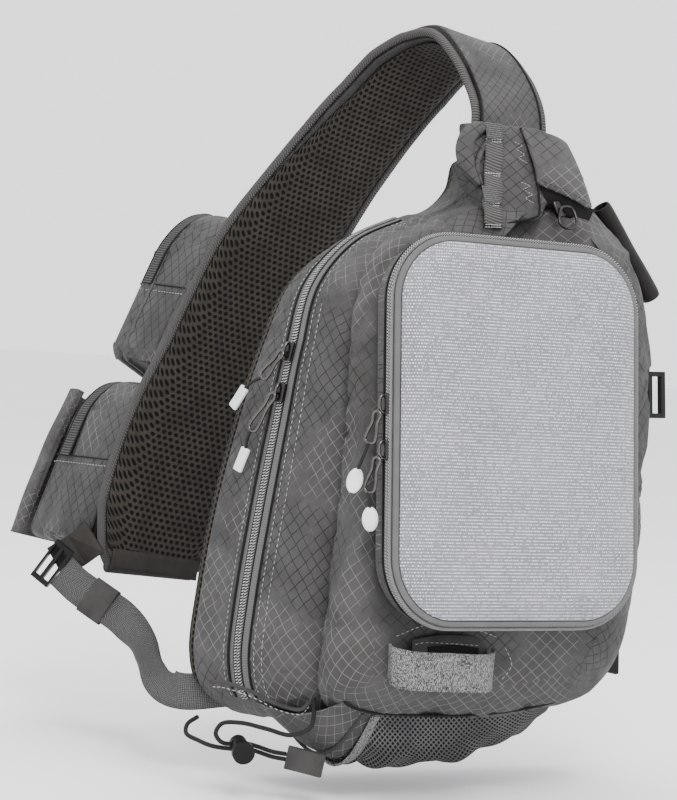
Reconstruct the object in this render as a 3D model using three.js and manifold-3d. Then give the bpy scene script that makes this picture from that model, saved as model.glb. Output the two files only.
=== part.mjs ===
import * as THREE from "three";
import { mergeVertices } from "three/addons/utils/BufferGeometryUtils.js";
import Module from "manifold-3d";

// A fishing tackle sling bag, hanging open from its shoulder strap.
// Millimetres: +X towards the bag's right as its front is seen, +Y towards the wearer, +Z up.
// Places are given from the front of the bag, and the whole group is then moved so that its origin
// lies where a shoulder carries the strap.

const wasm = await Module();
wasm.setup();

// Driving sizes
const gap = 0.3;
const body = {
  midX: 15, halfWidth: 160, baseZ: 8, height: 420, backY: 50, seamY: -35,
  seamRiseFrom: 0.62, seamSlope: 0.37, wall: 2, bulge: 5,
};
const panel = {
  y: -60.6, midUp: 0.49, tilt: 7, rollFromUp: 0.171, roll: 26, rollUp: 0.133, neckUp: 0.8, neckSlope: 0.6,
};
const backPad = { thick: 12, inset: 3 };
const shell = {
  midX: 7, width: 190, height: 254, corner: 45, baseDepth: 22, bandDepth: 8, lidDepth: 13,
  wall: 3.5, groove: 7,
};
const strap = {
  apexX: 70, apexY: 124, apexZ: 497, shift: 190, reach: 90, drop: 415,
  width: 116, pad: 12, mesh: 2, binding: 7,
};
const webbing = { width: 25, thick: 1.6 };
const keeper = { length: 20, width: 30, depth: 11, wall: 0.7, fold: 16 };
const ladder = { length: 15, width: 32, thick: 5, slot: 4.6, slotWidth: 26 };
const zip = { tapeHalfShare: 0.12, thick: 1, coil: 1.4, coilHalfShare: 0.03 };
const slider = { width: 9, length: 14, thick: 5 };
const pull = { width: 9, wire: 1.3 };
const cord = { radius: 1.5, sides: 8 };
const lock = { radius: 6, length: 13, wall: 2, capRadius: 7.5, capDepth: 5, travel: 4, slack: 0.6 };
const rodSleeve = { radius: 6.5, wall: 1.5, length: 80, tilt: 39, across: 0.685, up: 0.8765 };
const pocket = { depth: 65, wall: 2, corner: 30, zipLength: 54, zipWidth: 9, slotLength: 44, slotWidth: 6 };

function look(colour, roughness, metalness = 0) {
  return new THREE.MeshStandardMaterial({ color: colour, roughness, metalness });
}
const ripstop = look(0x62625f, 0.8);
const smoothCloth = look(0x5c5e60, 0.7);
const spacerMesh = look(0x4a423c, 0.9);
const heather = look(0x8a8888, 0.85);
const tapeCloth = look(0x75747a, 0.8);
const caseCloth = look(0xa5a5ac, 0.7);
const darkCloth = look(0x262524, 0.8);
const gunmetal = look(0x55504c, 0.35, 0.9);
const whiteRubber = look(0xe4e8ea, 0.5);
const blackPlastic = look(0x1c1c1d, 0.45);
const shockCord = look(0x17171a, 0.8);

// Solids
function geometryOf(positions, faces) {
  const geometry = new THREE.BufferGeometry();
  geometry.setAttribute("position", new THREE.Float32BufferAttribute(positions, 3));
  geometry.setIndex(faces);
  return geometry;
}

function signedVolume(points, faces) {
  let sum = 0;
  for (let f = 0; f < faces.length; f += 3) {
    const [a, b, c] = [points[faces[f]], points[faces[f + 1]], points[faces[f + 2]]];
    sum += a.dot(b.clone().cross(c));
  }
  return sum;
}

// The triangles that close a ring of points, wound the way the ring runs
function capFaces(ring) {
  const normal = new THREE.Vector3();
  ring.forEach((point, i) => normal.add(point.clone().cross(ring[(i + 1) % ring.length])));
  const size = [Math.abs(normal.x), Math.abs(normal.y), Math.abs(normal.z)];
  const flat = size.indexOf(Math.max(...size));
  const [u, v] = [["y", "z"], ["z", "x"], ["x", "y"]][flat];
  const contour = ring.map((point) => new THREE.Vector2(point[u], point[v]));
  const triangles = THREE.ShapeUtils.triangulateShape(contour, []);
  const ringSign = Math.sign(THREE.ShapeUtils.area(contour));
  const first = triangles[0].map((i) => contour[i]);
  const flip = Math.sign(THREE.ShapeUtils.area(first)) !== ringSign;
  return triangles.map(([a, b, c]) => (flip ? [a, c, b] : [a, b, c]));
}

// The triangles that close an upright outline in level strips between its left and right sides
function stripFaces(ring, top) {
  const faces = [];
  let left = 0;
  let right = ring.length;
  while (right - left > 2) {
    const nextLeft = left + 1;
    const nextRight = right - 1;
    const at = right % ring.length;
    const leftFirst = nextRight <= top || (nextLeft < top && ring[nextLeft].z <= ring[nextRight].z);
    if (leftFirst) {
      faces.push([left, nextLeft, at]);
      left = nextLeft;
    } else {
      faces.push([left, nextRight, at]);
      right = nextRight;
    }
  }
  faces.push([left, left + 1, right % ring.length]);
  return faces.filter(([a, b, c]) => a !== b && b !== c && a !== c);
}

// A closed body through rings of points; a closed loft joins its last ring to its first
function loft(rings, closed = false, closeRing = capFaces) {
  const count = rings[0].length;
  const points = rings.flat();
  const faces = [];
  const joins = closed ? rings.length : rings.length - 1;
  for (let r = 0; r < joins; r++) {
    const here = r * count;
    const next = ((r + 1) % rings.length) * count;
    for (let i = 0; i < count; i++) {
      const j = (i + 1) % count;
      faces.push(here + i, here + j, next + j, here + i, next + j, next + i);
    }
  }
  if (!closed) {
    const last = (rings.length - 1) * count;
    closeRing(rings[0]).forEach(([a, b, c]) => faces.push(a, c, b));
    closeRing(rings.at(-1)).forEach(([a, b, c]) => faces.push(last + a, last + b, last + c));
  }
  if (signedVolume(points, faces) < 0) faces.reverse();
  return geometryOf(points.flatMap((point) => point.toArray()), faces);
}

function toManifold(geometry) {
  const bare = geometry.clone();
  bare.deleteAttribute("normal");
  bare.deleteAttribute("uv");
  const merged = mergeVertices(bare, 1e-4);
  const vertProperties = new Float32Array(merged.attributes.position.array);
  const triVerts = new Uint32Array(merged.index.array);
  return new wasm.Manifold(new wasm.Mesh({ numProp: 3, vertProperties, triVerts }));
}

function fromManifold(manifold) {
  const mesh = manifold.getMesh();
  return geometryOf(Array.from(mesh.vertProperties), Array.from(mesh.triVerts));
}

function cut(geometry, ...tools) {
  return fromManifold(tools.reduce((solid, tool) => solid.subtract(toManifold(tool)), toManifold(geometry)));
}

function join(geometry, ...others) {
  return fromManifold(others.reduce((solid, other) => solid.add(toManifold(other)), toManifold(geometry)));
}

// A box whose centre, axes and sizes are given
function block(centre, along, across, sizes) {
  const x = along.clone().normalize();
  const z = x.clone().cross(across).normalize();
  const y = z.clone().cross(x);
  const place = new THREE.Matrix4().makeBasis(x, y, z).setPosition(centre);
  return new THREE.BoxGeometry(...sizes).applyMatrix4(place);
}

// A round bar from one point to another
function bar(from, to, radius, sides = 16) {
  const axis = to.clone().sub(from);
  const turn = new THREE.Quaternion().setFromUnitVectors(new THREE.Vector3(0, 1, 0), axis.clone().normalize());
  const middle = from.clone().add(to).multiplyScalar(0.5);
  return new THREE.CylinderGeometry(radius, radius, axis.length(), sides)
    .applyMatrix4(new THREE.Matrix4().compose(middle, turn, new THREE.Vector3(1, 1, 1)));
}

// A tube along a curve through the points, with a step every two and a half diameters
function tube(points, radius, sides) {
  const curve = new THREE.CatmullRomCurve3(points, false, "centripetal");
  const section = new THREE.Shape();
  for (let i = 0; i < sides; i++) {
    const angle = (i / sides) * 2 * Math.PI;
    section[i ? "lineTo" : "moveTo"](radius * Math.cos(angle), radius * Math.sin(angle));
  }
  const steps = Math.max(4, Math.round(curve.getLength() / (5 * radius)));
  return new THREE.ExtrudeGeometry(section, { steps, bevelEnabled: false, extrudePath: curve });
}

// A flat tape through stations that each give a place and the direction across the tape
function tape(stations, width, thick) {
  return loft(stations.map(({ at, across }, i) => {
    const before = stations[Math.max(0, i - 1)].at;
    const after = stations[Math.min(stations.length - 1, i + 1)].at;
    const along = after.clone().sub(before).normalize();
    const normal = along.clone().cross(across).normalize();
    const side = normal.clone().cross(along).normalize();
    return [[-1, -1], [1, -1], [1, 1], [-1, 1]].map(([a, b]) => at.clone()
      .addScaledVector(side, (a * width) / 2)
      .addScaledVector(normal, (b * thick) / 2));
  }));
}

// Stations closer together along smooth curves through the given ones
function between(stations, steps) {
  const places = new THREE.CatmullRomCurve3(stations.map(({ at }) => at), false, "centripetal");
  const sides = new THREE.CatmullRomCurve3(stations.map(({ across }) => across), false, "centripetal");
  return Array.from({ length: steps + 1 }, (_, i) => ({
    at: places.getPoint(i / steps), across: sides.getPoint(i / steps),
  }));
}

const bag = new THREE.Group();
function add(name, geometry, material, parent = bag) {
  const mesh = new THREE.Mesh(geometry, material);
  mesh.name = name;
  parent.add(mesh);
  return mesh;
}
const vec = (x, y, z) => new THREE.Vector3(x, y, z);

// The body's outline seen from the front, clockwise from the middle of the bottom: shares of the half
// width from the mid line and of the height, for the back edge, the middle seam and the front face
const outline = [
  { backX: 0, backZ: 0, seamX: -0.06, seamZ: 0.04, faceX: 0, faceZ: 0.05 },
  { backX: -0.47, backZ: 0, seamX: -0.41, seamZ: 0.04, faceX: -0.39, faceZ: 0.055 },
  { backX: -0.84, backZ: 0.01, seamX: -0.6, seamZ: 0.045, faceX: -0.54, faceZ: 0.063 },
  { backX: -0.99, backZ: 0.045, seamX: -0.68, seamZ: 0.065, faceX: -0.655, faceZ: 0.08 },
  { backX: -1.04, backZ: 0.1, seamX: -0.71, seamZ: 0.105, faceX: -0.705, faceZ: 0.12 },
  { backX: -1.025, backZ: 0.21, seamX: -0.705, seamZ: 0.2, faceX: -0.7, faceZ: 0.205 },
  { backX: -0.98, backZ: 0.34, seamX: -0.67, seamZ: 0.34, faceX: -0.67, faceZ: 0.34 },
  { backX: -0.905, backZ: 0.475, seamX: -0.65, seamZ: 0.48, faceX: -0.645, faceZ: 0.48 },
  { backX: -0.805, backZ: 0.61, seamX: -0.65, seamZ: 0.605, faceX: -0.63, faceZ: 0.605 },
  { backX: -0.695, backZ: 0.71, seamX: -0.61, seamZ: 0.7, faceX: -0.58, faceZ: 0.7 },
  { backX: -0.505, backZ: 0.775, seamX: -0.48, seamZ: 0.775, faceX: -0.47, faceZ: 0.765 },
  { backX: -0.27, backZ: 0.82, seamX: -0.27, seamZ: 0.815, faceX: -0.27, faceZ: 0.805 },
  { backX: -0.055, backZ: 0.85, seamX: -0.045, seamZ: 0.85, faceX: -0.045, faceZ: 0.845 },
  { backX: 0.055, backZ: 0.89, seamX: 0.07, seamZ: 0.89, faceX: 0.08, faceZ: 0.89 },
  { backX: 0.095, backZ: 0.94, seamX: 0.11, seamZ: 0.94, faceX: 0.12, faceZ: 0.935 },
  { backX: 0.32, backZ: 0.955, seamX: 0.31, seamZ: 0.955, faceX: 0.3, faceZ: 0.95 },
  { backX: 0.53, backZ: 0.94, seamX: 0.51, seamZ: 0.94, faceX: 0.47, faceZ: 0.935 },
  { backX: 0.57, backZ: 0.905, seamX: 0.53, seamZ: 0.905, faceX: 0.485, faceZ: 0.9 },
  { backX: 0.655, backZ: 0.86, seamX: 0.615, seamZ: 0.86, faceX: 0.55, faceZ: 0.845 },
  { backX: 0.83, backZ: 0.79, seamX: 0.77, seamZ: 0.79, faceX: 0.65, faceZ: 0.775 },
  { backX: 0.95, backZ: 0.685, seamX: 0.805, seamZ: 0.695, faceX: 0.7, faceZ: 0.695 },
  { backX: 0.99, backZ: 0.575, seamX: 0.81, seamZ: 0.575, faceX: 0.72, faceZ: 0.575 },
  { backX: 1, backZ: 0.435, seamX: 0.8, seamZ: 0.435, faceX: 0.7, faceZ: 0.435 },
  { backX: 0.97, backZ: 0.29, seamX: 0.77, seamZ: 0.295, faceX: 0.665, faceZ: 0.29 },
  { backX: 0.94, backZ: 0.17, seamX: 0.735, seamZ: 0.19, faceX: 0.605, faceZ: 0.18 },
  { backX: 0.93, backZ: 0.085, seamX: 0.69, seamZ: 0.12, faceX: 0.54, faceZ: 0.125 },
  { backX: 0.86, backZ: 0.03, seamX: 0.605, seamZ: 0.075, faceX: 0.47, faceZ: 0.092 },
  { backX: 0.47, backZ: 0, seamX: 0.295, seamZ: 0.048, faceX: 0.28, faceZ: 0.065 },
];
const ringCount = 2 * outline.length;
const bodyX = (across) => body.midX + across * body.halfWidth;
const bodyZ = (up) => body.baseZ + up * body.height;

function outlineCurve(xKey, zKey) {
  const points = outline.map((row) => vec(bodyX(row[xKey]), 0, bodyZ(row[zKey])));
  return new THREE.CatmullRomCurve3(points, true, "centripetal");
}
const backCurve = outlineCurve("backX", "backZ");
const seamCurve = outlineCurve("seamX", "seamZ");
const faceCurve = outlineCurve("faceX", "faceZ");

// Depths: the seam leans back above its middle, and the face follows the case's tilted plane
function seamY(z) {
  const rise = Math.max(0, z - bodyZ(body.seamRiseFrom));
  return body.seamY + body.seamSlope * rise;
}
function panelY(z) {
  return panel.y + (z - bodyZ(panel.midUp)) * Math.tan(THREE.MathUtils.degToRad(panel.tilt));
}
function faceY(z) {
  const below = Math.max(0, bodyZ(panel.rollFromUp) - z) / (panel.rollUp * body.height);
  const above = Math.max(0, z - bodyZ(panel.neckUp));
  return panelY(z) + panel.roll * below * below + panel.neckSlope * above;
}

// A point on a wall between two outlines: share 0 to 1 from the first to the second, and a step outwards
function wallPoint(first, second, t, share, out) {
  const at = (s) => first.getPoint(((s % 1) + 1) % 1).lerp(second.getPoint(((s % 1) + 1) % 1), share);
  const point = at(t);
  const run = at(t + 0.5 / ringCount).sub(at(t - 0.5 / ringCount));
  const outward = vec(-run.z, 0, run.x).normalize();
  return point.addScaledVector(outward, out);
}
function gussetPoint(t, share, out) {
  const z = backCurve.getPoint(((t % 1) + 1) % 1).z;
  const soft = THREE.MathUtils.clamp((bodyZ(1) - z) / (0.3 * body.height), 0, 1);
  const bulge = body.bulge * soft * Math.sin(Math.PI * share);
  const point = wallPoint(backCurve, seamCurve, t, share, out + bulge);
  point.y = THREE.MathUtils.lerp(body.backY, seamY(point.z), share);
  return point;
}
function frontPoint(t, share, out) {
  const bulge = 3 * Math.sin(Math.PI * share);
  const point = wallPoint(seamCurve, faceCurve, t, share, out + bulge);
  point.y = THREE.MathUtils.lerp(seamY(point.z) - gap, faceY(point.z), share);
  return point;
}
const outlineTop = 30;
const bodyLoft = (rings) => loft(rings, false, (ring) => stripFaces(ring, outlineTop));
function ringOf(place, share, out) {
  return Array.from({ length: ringCount }, (_, i) => place(i / ringCount, share, out));
}

// A strip that lies on a wall between two turns of the outline
function wallStrip(place, fromRow, toRow, section) {
  const rings = [];
  for (let i = 2 * fromRow; i <= 2 * toRow; i++) {
    rings.push(section.map(([share, out]) => place(i / ringCount, share, out)));
  }
  return loft(rings);
}

const zipShare = 0.45;
const zipLow = zipShare - zip.tapeHalfShare;
const zipHigh = zipShare + zip.tapeHalfShare;
const sideZipRows = { from: 3, to: 11 };
const slotHalfShare = 0.035;

function makeMainCompartment() {
  const outer = bodyLoft([
    ringOf(gussetPoint, 0, -4),
    ringOf(gussetPoint, 0.04, 0),
    ringOf(gussetPoint, zipLow, 0),
    ringOf(gussetPoint, zipHigh, 0),
    ringOf(gussetPoint, 0.93, 0),
    ringOf(gussetPoint, 1, -4),
  ]);
  const inner = bodyLoft([
    ringOf(gussetPoint, 0.04, -6),
    ringOf(gussetPoint, zipLow, -body.wall),
    ringOf(gussetPoint, zipHigh, -body.wall),
    ringOf(gussetPoint, 0.96, -6),
  ]);
  const slot = wallStrip(gussetPoint, sideZipRows.from + 1, sideZipRows.to - 1, [
    [zipShare - slotHalfShare, -8], [zipShare + slotHalfShare, -8],
    [zipShare + slotHalfShare, 6], [zipShare - slotHalfShare, 6],
  ]);
  add("main_compartment", cut(outer, inner, slot), ripstop);
}

function makeSideZip() {
  const coilLow = zipShare - zip.coilHalfShare;
  const coilHigh = zipShare + zip.coilHalfShare;
  add("side_zip", wallStrip(gussetPoint, sideZipRows.from, sideZipRows.to, [
    [zipLow, gap], [zipHigh, gap], [zipHigh, gap + zip.thick], [coilHigh, gap + zip.thick],
    [coilHigh, gap + zip.thick + zip.coil], [coilLow, gap + zip.thick + zip.coil],
    [coilLow, gap + zip.thick], [zipLow, gap + zip.thick],
  ]), tapeCloth);
}

function makeFrontCompartment() {
  const outer = bodyLoft([
    ringOf(frontPoint, 0, -5),
    ringOf(frontPoint, 0.12, 0),
    ringOf(frontPoint, 0.45, 1),
    ringOf(frontPoint, 0.75, 0),
    ringOf(frontPoint, 0.93, -4),
    ringOf(frontPoint, 1, -11),
  ]);
  const inner = bodyLoft([
    ringOf(frontPoint, 0.16, -6),
    ringOf(frontPoint, 0.45, -body.wall),
    ringOf(frontPoint, 0.75, -body.wall - 2),
    ringOf(frontPoint, 0.88, -11),
  ]);
  const slot = wallStrip(frontPoint, 20, 24, [[0.35, -10], [0.6, -10], [0.6, 8], [0.35, 8]]);
  add("front_compartment", cut(outer, inner, slot), ripstop);
}

function makeBackPanel() {
  const place = (t, share, out) => {
    const point = gussetPoint(t, 0, out - backPad.inset);
    point.y = body.backY + gap + share * backPad.thick;
    return point;
  };
  add("back_panel", bodyLoft([
    ringOf(place, 0, -1), ringOf(place, 0.3, 1), ringOf(place, 0.75, 0), ringOf(place, 1, -6),
  ]), spacerMesh);
}

// The case: a moulded base, its zip band and a domed lid, in a group tilted with the front face
function roundedRing(width, height, corner, y, middleX = 0) {
  const ring = [];
  const stepsPerCorner = 5;
  const corners = [[1, 1, 0], [-1, 1, 0.5], [-1, -1, 1], [1, -1, 1.5]];
  for (const [sx, sz, start] of corners) {
    for (let i = 0; i <= stepsPerCorner; i++) {
      const angle = (start + (0.5 * i) / stepsPerCorner) * Math.PI;
      ring.push(vec(
        middleX + sx * (width / 2 - corner) + corner * Math.cos(angle),
        y,
        sz * (height / 2 - corner) + corner * Math.sin(angle),
      ));
    }
  }
  return ring;
}
function caseRing(inset, y) {
  const corner = Math.max(4, shell.corner - inset);
  return roundedRing(shell.width - 2 * inset, shell.height - 2 * inset, corner, y);
}

const caseGroup = new THREE.Group();
const caseMidZ = bodyZ(panel.midUp);
caseGroup.position.set(shell.midX, panelY(caseMidZ) - gap - 0.4, caseMidZ);
caseGroup.rotation.x = -THREE.MathUtils.degToRad(panel.tilt);
bag.add(caseGroup);
const bandBack = -shell.baseDepth;
const bandFront = bandBack - shell.bandDepth;
const lidFront = bandFront - shell.lidDepth;

function makeCase() {
  const base = loft([caseRing(12, 0), caseRing(5, -3), caseRing(2, -10), caseRing(1, bandBack + gap)]);
  const baseHollow = loft([caseRing(15, -shell.wall), caseRing(6, -10), caseRing(5, bandBack - 1)]);
  add("case_base", cut(base, baseHollow), ripstop, caseGroup);

  const outer = [
    caseRing(1.5, bandBack),
    caseRing(0, bandBack - 3),
    caseRing(0, bandFront + 3),
    caseRing(1.5, bandFront),
  ];
  const inner = [caseRing(5, bandFront), caseRing(5, bandBack)];
  add("case_zip", loft([...outer, ...inner], true), tapeCloth, caseGroup);

  const groove = shell.groove;
  const lid = loft([
    caseRing(1, bandFront - gap), caseRing(3, bandFront - 3), caseRing(groove, bandFront - 4),
    caseRing(groove + 1.5, bandFront - 7),
    caseRing(groove + 7, lidFront + 2.5),
    caseRing(groove + 18, lidFront),
  ]);
  const lidHollow = loft([
    caseRing(5, bandFront + 1),
    caseRing(groove + 5, bandFront - 4),
    caseRing(groove + 12, lidFront + shell.wall + 2),
  ]);
  add("case_lid", cut(lid, lidHollow), caseCloth, caseGroup);
}

// A zip slider with its bridge, a ring-shaped pull that hangs from it, and a tag below
function makeSlider(name, at, along, outward, parent) {
  const across = along.clone().cross(outward).normalize();
  const middle = at.clone().addScaledVector(outward, slider.thick / 2);
  const blockShape = block(middle, along, across, [slider.length, slider.width, slider.thick]);
  add(name, blockShape, gunmetal, parent);
}
function makePull(name, from, to, flat, parent) {
  const along = to.clone().sub(from).normalize();
  const side = along.clone().cross(flat).normalize();
  const half = pull.width / 2;
  const steps = 14;
  const middle = from.clone().add(to).multiplyScalar(0.5);
  const reach = from.distanceTo(to) / 2;
  const rings = Array.from({ length: steps }, (_, i) => {
    const angle = (i / steps) * 2 * Math.PI;
    const radial = along.clone().multiplyScalar(Math.cos(angle)).addScaledVector(side, Math.sin(angle));
    const centre = middle.clone()
      .addScaledVector(along, reach * Math.cos(angle))
      .addScaledVector(side, half * Math.sin(angle));
    return Array.from({ length: 6 }, (_, k) => {
      const turn = (k / 6) * 2 * Math.PI;
      return centre.clone()
        .addScaledVector(radial, pull.wire * Math.cos(turn))
        .addScaledVector(flat, pull.wire * Math.sin(turn));
    });
  });
  add(name, loft(rings, true), gunmetal, parent);
}
function makeTag(name, from, start, end, flat, parent) {
  const along = end.clone().sub(start);
  const middle = start.clone().add(end).multiplyScalar(0.5);
  const plate = block(middle, along, along.clone().cross(flat), [along.length(), 7, 3]);
  const string = bar(from, start.clone().addScaledVector(along, 0.1), 1.1, 8);
  add(name, join(plate, string), whiteRubber, parent);
}

function makeSidePulls() {
  const rows = [
    { name: "upper", row: 7.9, back: 11, down: 20, cordBack: 14, cordDown: 8, tagBack: 8, tagDown: 15 },
    { name: "lower", row: 7.4, back: 14, down: 27, cordBack: 1, cordDown: 12, tagBack: 4, tagDown: 16 },
  ];
  for (const { name, row, back, down, cordBack, cordDown, tagBack, tagDown } of rows) {
    const t = row / outline.length;
    const here = gussetPoint(t, zipShare, 0);
    const along = gussetPoint(t + 0.01, zipShare, 0).sub(gussetPoint(t - 0.01, zipShare, 0)).normalize();
    const backward = gussetPoint(t, zipLow, 0).sub(gussetPoint(t, zipHigh, 0)).normalize();
    const outward = along.clone().cross(backward).normalize();
    const seat = here.clone().addScaledVector(outward, gap + zip.thick + zip.coil + 2 * gap);
    makeSlider(`side_slider_${name}`, seat, along, outward, bag);
    const hang = (from, backBy, downBy, lift) => from.clone()
      .addScaledVector(backward, backBy)
      .addScaledVector(along, -downBy)
      .addScaledVector(outward, lift);
    const top = hang(seat, 1, 1, slider.thick + pull.wire + gap);
    const bottom = hang(top, back, down, name === "upper" ? 3 : 0.5);
    makePull(`side_pull_${name}`, top, bottom, outward, bag);
    const cordTop = bottom.clone().addScaledVector(bottom.clone().sub(top).normalize(), pull.wire + gap);
    const tagTop = hang(cordTop, cordBack, cordDown, 0);
    makeTag(`side_tag_${name}`, cordTop, tagTop, hang(tagTop, tagBack, tagDown, 0), outward, bag);
  }
}

function makeCasePulls() {
  const rows = [
    { name: "upper", up: 0.06, drop: 20, cordOut: 6, cordDown: 16, beadOut: 4, beadDown: 16 },
    { name: "lower", up: -0.055, drop: 22, cordOut: -1, cordDown: 9, beadOut: -1, beadDown: 16 },
  ];
  for (const { name, up, drop, cordOut, cordDown, beadOut, beadDown } of rows) {
    const outward = vec(-1, 0, 0);
    const seat = vec(-shell.width / 2 - gap, (bandBack + bandFront) / 2, up * shell.height);
    makeSlider(`case_slider_${name}`, seat, vec(0, 0, 1), outward, caseGroup);
    const top = seat.clone().add(vec(-slider.thick - pull.wire - gap, 0, -5));
    const bottom = top.clone().add(vec(-3, 6, -drop));
    const flat = outward.clone();
    makePull(`case_pull_${name}`, top, bottom, flat, caseGroup);
    const cordTop = bottom.clone().addScaledVector(bottom.clone().sub(top).normalize(), pull.wire + gap);
    const beadTop = cordTop.clone().add(vec(-cordOut, cordOut / 2, -cordDown));
    const beadEnd = beadTop.clone().add(vec(-beadOut, 1, -beadDown));
    makeTag(`case_bead_${name}`, cordTop, beadTop, beadEnd, flat, caseGroup);
  }
}

// The neck: a collar round the strap's foot, webbing rungs in front and a flap on its right
const neckTopZ = bodyZ(0.955);
function makeNeckCollar() {
  const wall = 2.5;
  const rows = [
    { up: 0.915, left: 0.045, right: 0.588, front: -6, back: 0.86 },
    { up: 0.95, left: 0.065, right: 0.572, front: -6, back: 0.86 },
    { up: 0.99, left: 0.085, right: 0.56, front: -6, back: 0.86 },
  ];
  add("neck_collar", loft(rows.map(({ up, left, right, front, back }) => {
    const z = bodyZ(up);
    const [x0, x1] = [bodyX(left), bodyX(right)];
    const y0 = Math.min(faceY(z), faceY(neckTopZ)) + front;
    const y1 = back * body.backY;
    const bevel = 8;
    const path = (inset) => [
      vec(x0 + inset, y1, z),
      vec(x0 + inset, y0 + bevel + inset / 2, z),
      vec(x0 + bevel + inset / 2, y0 + inset, z),
      vec(x1 - bevel - inset / 2, y0 + inset, z),
      vec(x1 - inset, y0 + bevel + inset / 2, z),
      vec(x1 - inset, y1, z),
    ];
    return [...path(0), ...path(wall).reverse()];
  })), smoothCloth);
}

function makeDaisyChain() {
  const rows = [
    { x: 0.09, up: 0.985 },
    { x: 0.075, up: 0.95 },
    { x: 0.045, up: 0.905 },
    { x: 0.015, up: 0.86 },
    { x: 0, up: 0.835 },
  ];
  const stations = rows.map(({ x, up }) => {
    const z = bodyZ(up);
    const y = Math.min(faceY(z), faceY(neckTopZ)) - (up > 0.9 ? 7.5 : 2.2);
    return { at: vec(bodyX(x), y, z), across: vec(1, 0, 0) };
  });
  add("daisy_chain", tape(stations, 15, webbing.thick), heather);
}

function makeNeckFlap() {
  const thick = 2;
  const corners = [
    { x: 0.22, up: 0.99 },
    { x: 0.45, up: 0.98 },
    { x: 0.47, up: 0.91 },
    { x: 0.475, up: 0.875 },
    { x: 0.19, up: 0.89 },
  ];
  const ring = (lift) => corners.map(({ x, up }) => {
    const z = bodyZ(up);
    return vec(bodyX(x), Math.min(faceY(z), faceY(neckTopZ)) - 6.8 - lift, z);
  });
  add("neck_flap", loft([ring(0), ring(thick)]), smoothCloth);
  const pullZ = bodyZ(0.855);
  const seat = vec(bodyX(0.34), faceY(pullZ) - 5, pullZ);
  const outward = vec(0.1, -0.9, 0.35).normalize();
  makeSlider("top_slider", seat, vec(0.3, 0, -0.9), outward, bag);
  const top = seat.clone().addScaledVector(outward, slider.thick + pull.wire + 0.9).add(vec(1, 0, -2));
  makePull("top_pull", top, top.clone().add(vec(2, -7, -19)), outward, bag);
}

function makeRodSleeve() {
  const top = vec(bodyX(rodSleeve.across), 10, bodyZ(rodSleeve.up));
  const tilt = THREE.MathUtils.degToRad(rodSleeve.tilt);
  const bottom = top.clone().add(vec(Math.sin(tilt), 0, -Math.cos(tilt)).multiplyScalar(rodSleeve.length));
  const run = bottom.clone().sub(top).normalize();
  const outer = bar(top, bottom, rodSleeve.radius, 20);
  const bore = bar(
    top.clone().addScaledVector(run, -2),
    bottom.clone().addScaledVector(run, 2),
    rodSleeve.radius - rodSleeve.wall,
    20,
  );
  add("rod_sleeve", cut(outer, bore), darkCloth);
}

// The grab loop and the net pocket below the front
function makeFrontLoop() {
  const rows = [
    { x: -0.53, z: 0.139, out: 1.2 }, { x: -0.53, z: 0.134, out: 14 }, { x: -0.33, z: 0.129, out: 19 },
    { x: -0.12, z: 0.124, out: 17 }, { x: -0.07, z: 0.124, out: 10 }, { x: -0.05, z: 0.126, out: 1.2 },
  ];
  const stations = rows.map(({ x, z, out }) => ({
    at: vec(bodyX(x), faceY(bodyZ(z)) - out, bodyZ(z)), across: vec(0, 0, 1),
  }));
  add("front_loop", tape(stations, webbing.width, webbing.thick), heather);
  const low = bodyZ(0.11);
  const high = bodyZ(0.17);
  const y = Math.min(faceY(low), faceY(high)) - 1;
  const patchRing = (depth) => [[-0.42, high], [-0.1, high], [-0.12, low], [-0.4, low]].map(([x, z]) => (
    vec(bodyX(x), y - depth, z)
  ));
  add("front_patch", loft([patchRing(0), patchRing(1.5)]), smoothCloth);
}

// A hanging wall between the front's lower edge and the gusset's underside, at one row of the outline
function pouchRing(row, dip, wall) {
  const steps = 7;
  const t = row / outline.length;
  const front = frontPoint(t, 0.8, gap + 0.5);
  const back = gussetPoint(t, 0.5, gap + 0.9);
  const run = back.clone().sub(front).normalize();
  const path = (inset) => Array.from({ length: steps + 1 }, (_, i) => {
    const from = front.clone().addScaledVector(run, inset);
    const to = back.clone().addScaledVector(run, -inset);
    const point = from.lerp(to, i / steps);
    point.z -= (dip - inset) * Math.sin((i / steps) * Math.PI);
    return point;
  });
  return [...path(0), ...path(wall).reverse()];
}
function makePouches() {
  const hang = 31;
  const netRows = [
    { row: 1.6, dip: 0.9 }, { row: 1.2, dip: 1 }, { row: 0.6, dip: 1.05 }, { row: 0, dip: 1 },
    { row: -0.4, dip: 0.8 }, { row: -0.8, dip: 0.6 }, { row: -1.1, dip: 0.35 }, { row: -1.3, dip: 0.2 },
  ];
  add("net_pocket", loft(netRows.map(({ row, dip }) => pouchRing(row, dip * hang, 1.5))), spacerMesh);
  const lipRows = [{ row: 2.9, dip: 0.3 }, { row: 2.3, dip: 0.62 }, { row: 1.62, dip: 0.88 }];
  add("pocket_lip", loft(lipRows.map(({ row, dip }) => pouchRing(row, dip * hang, 2))), smoothCloth);
}

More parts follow.
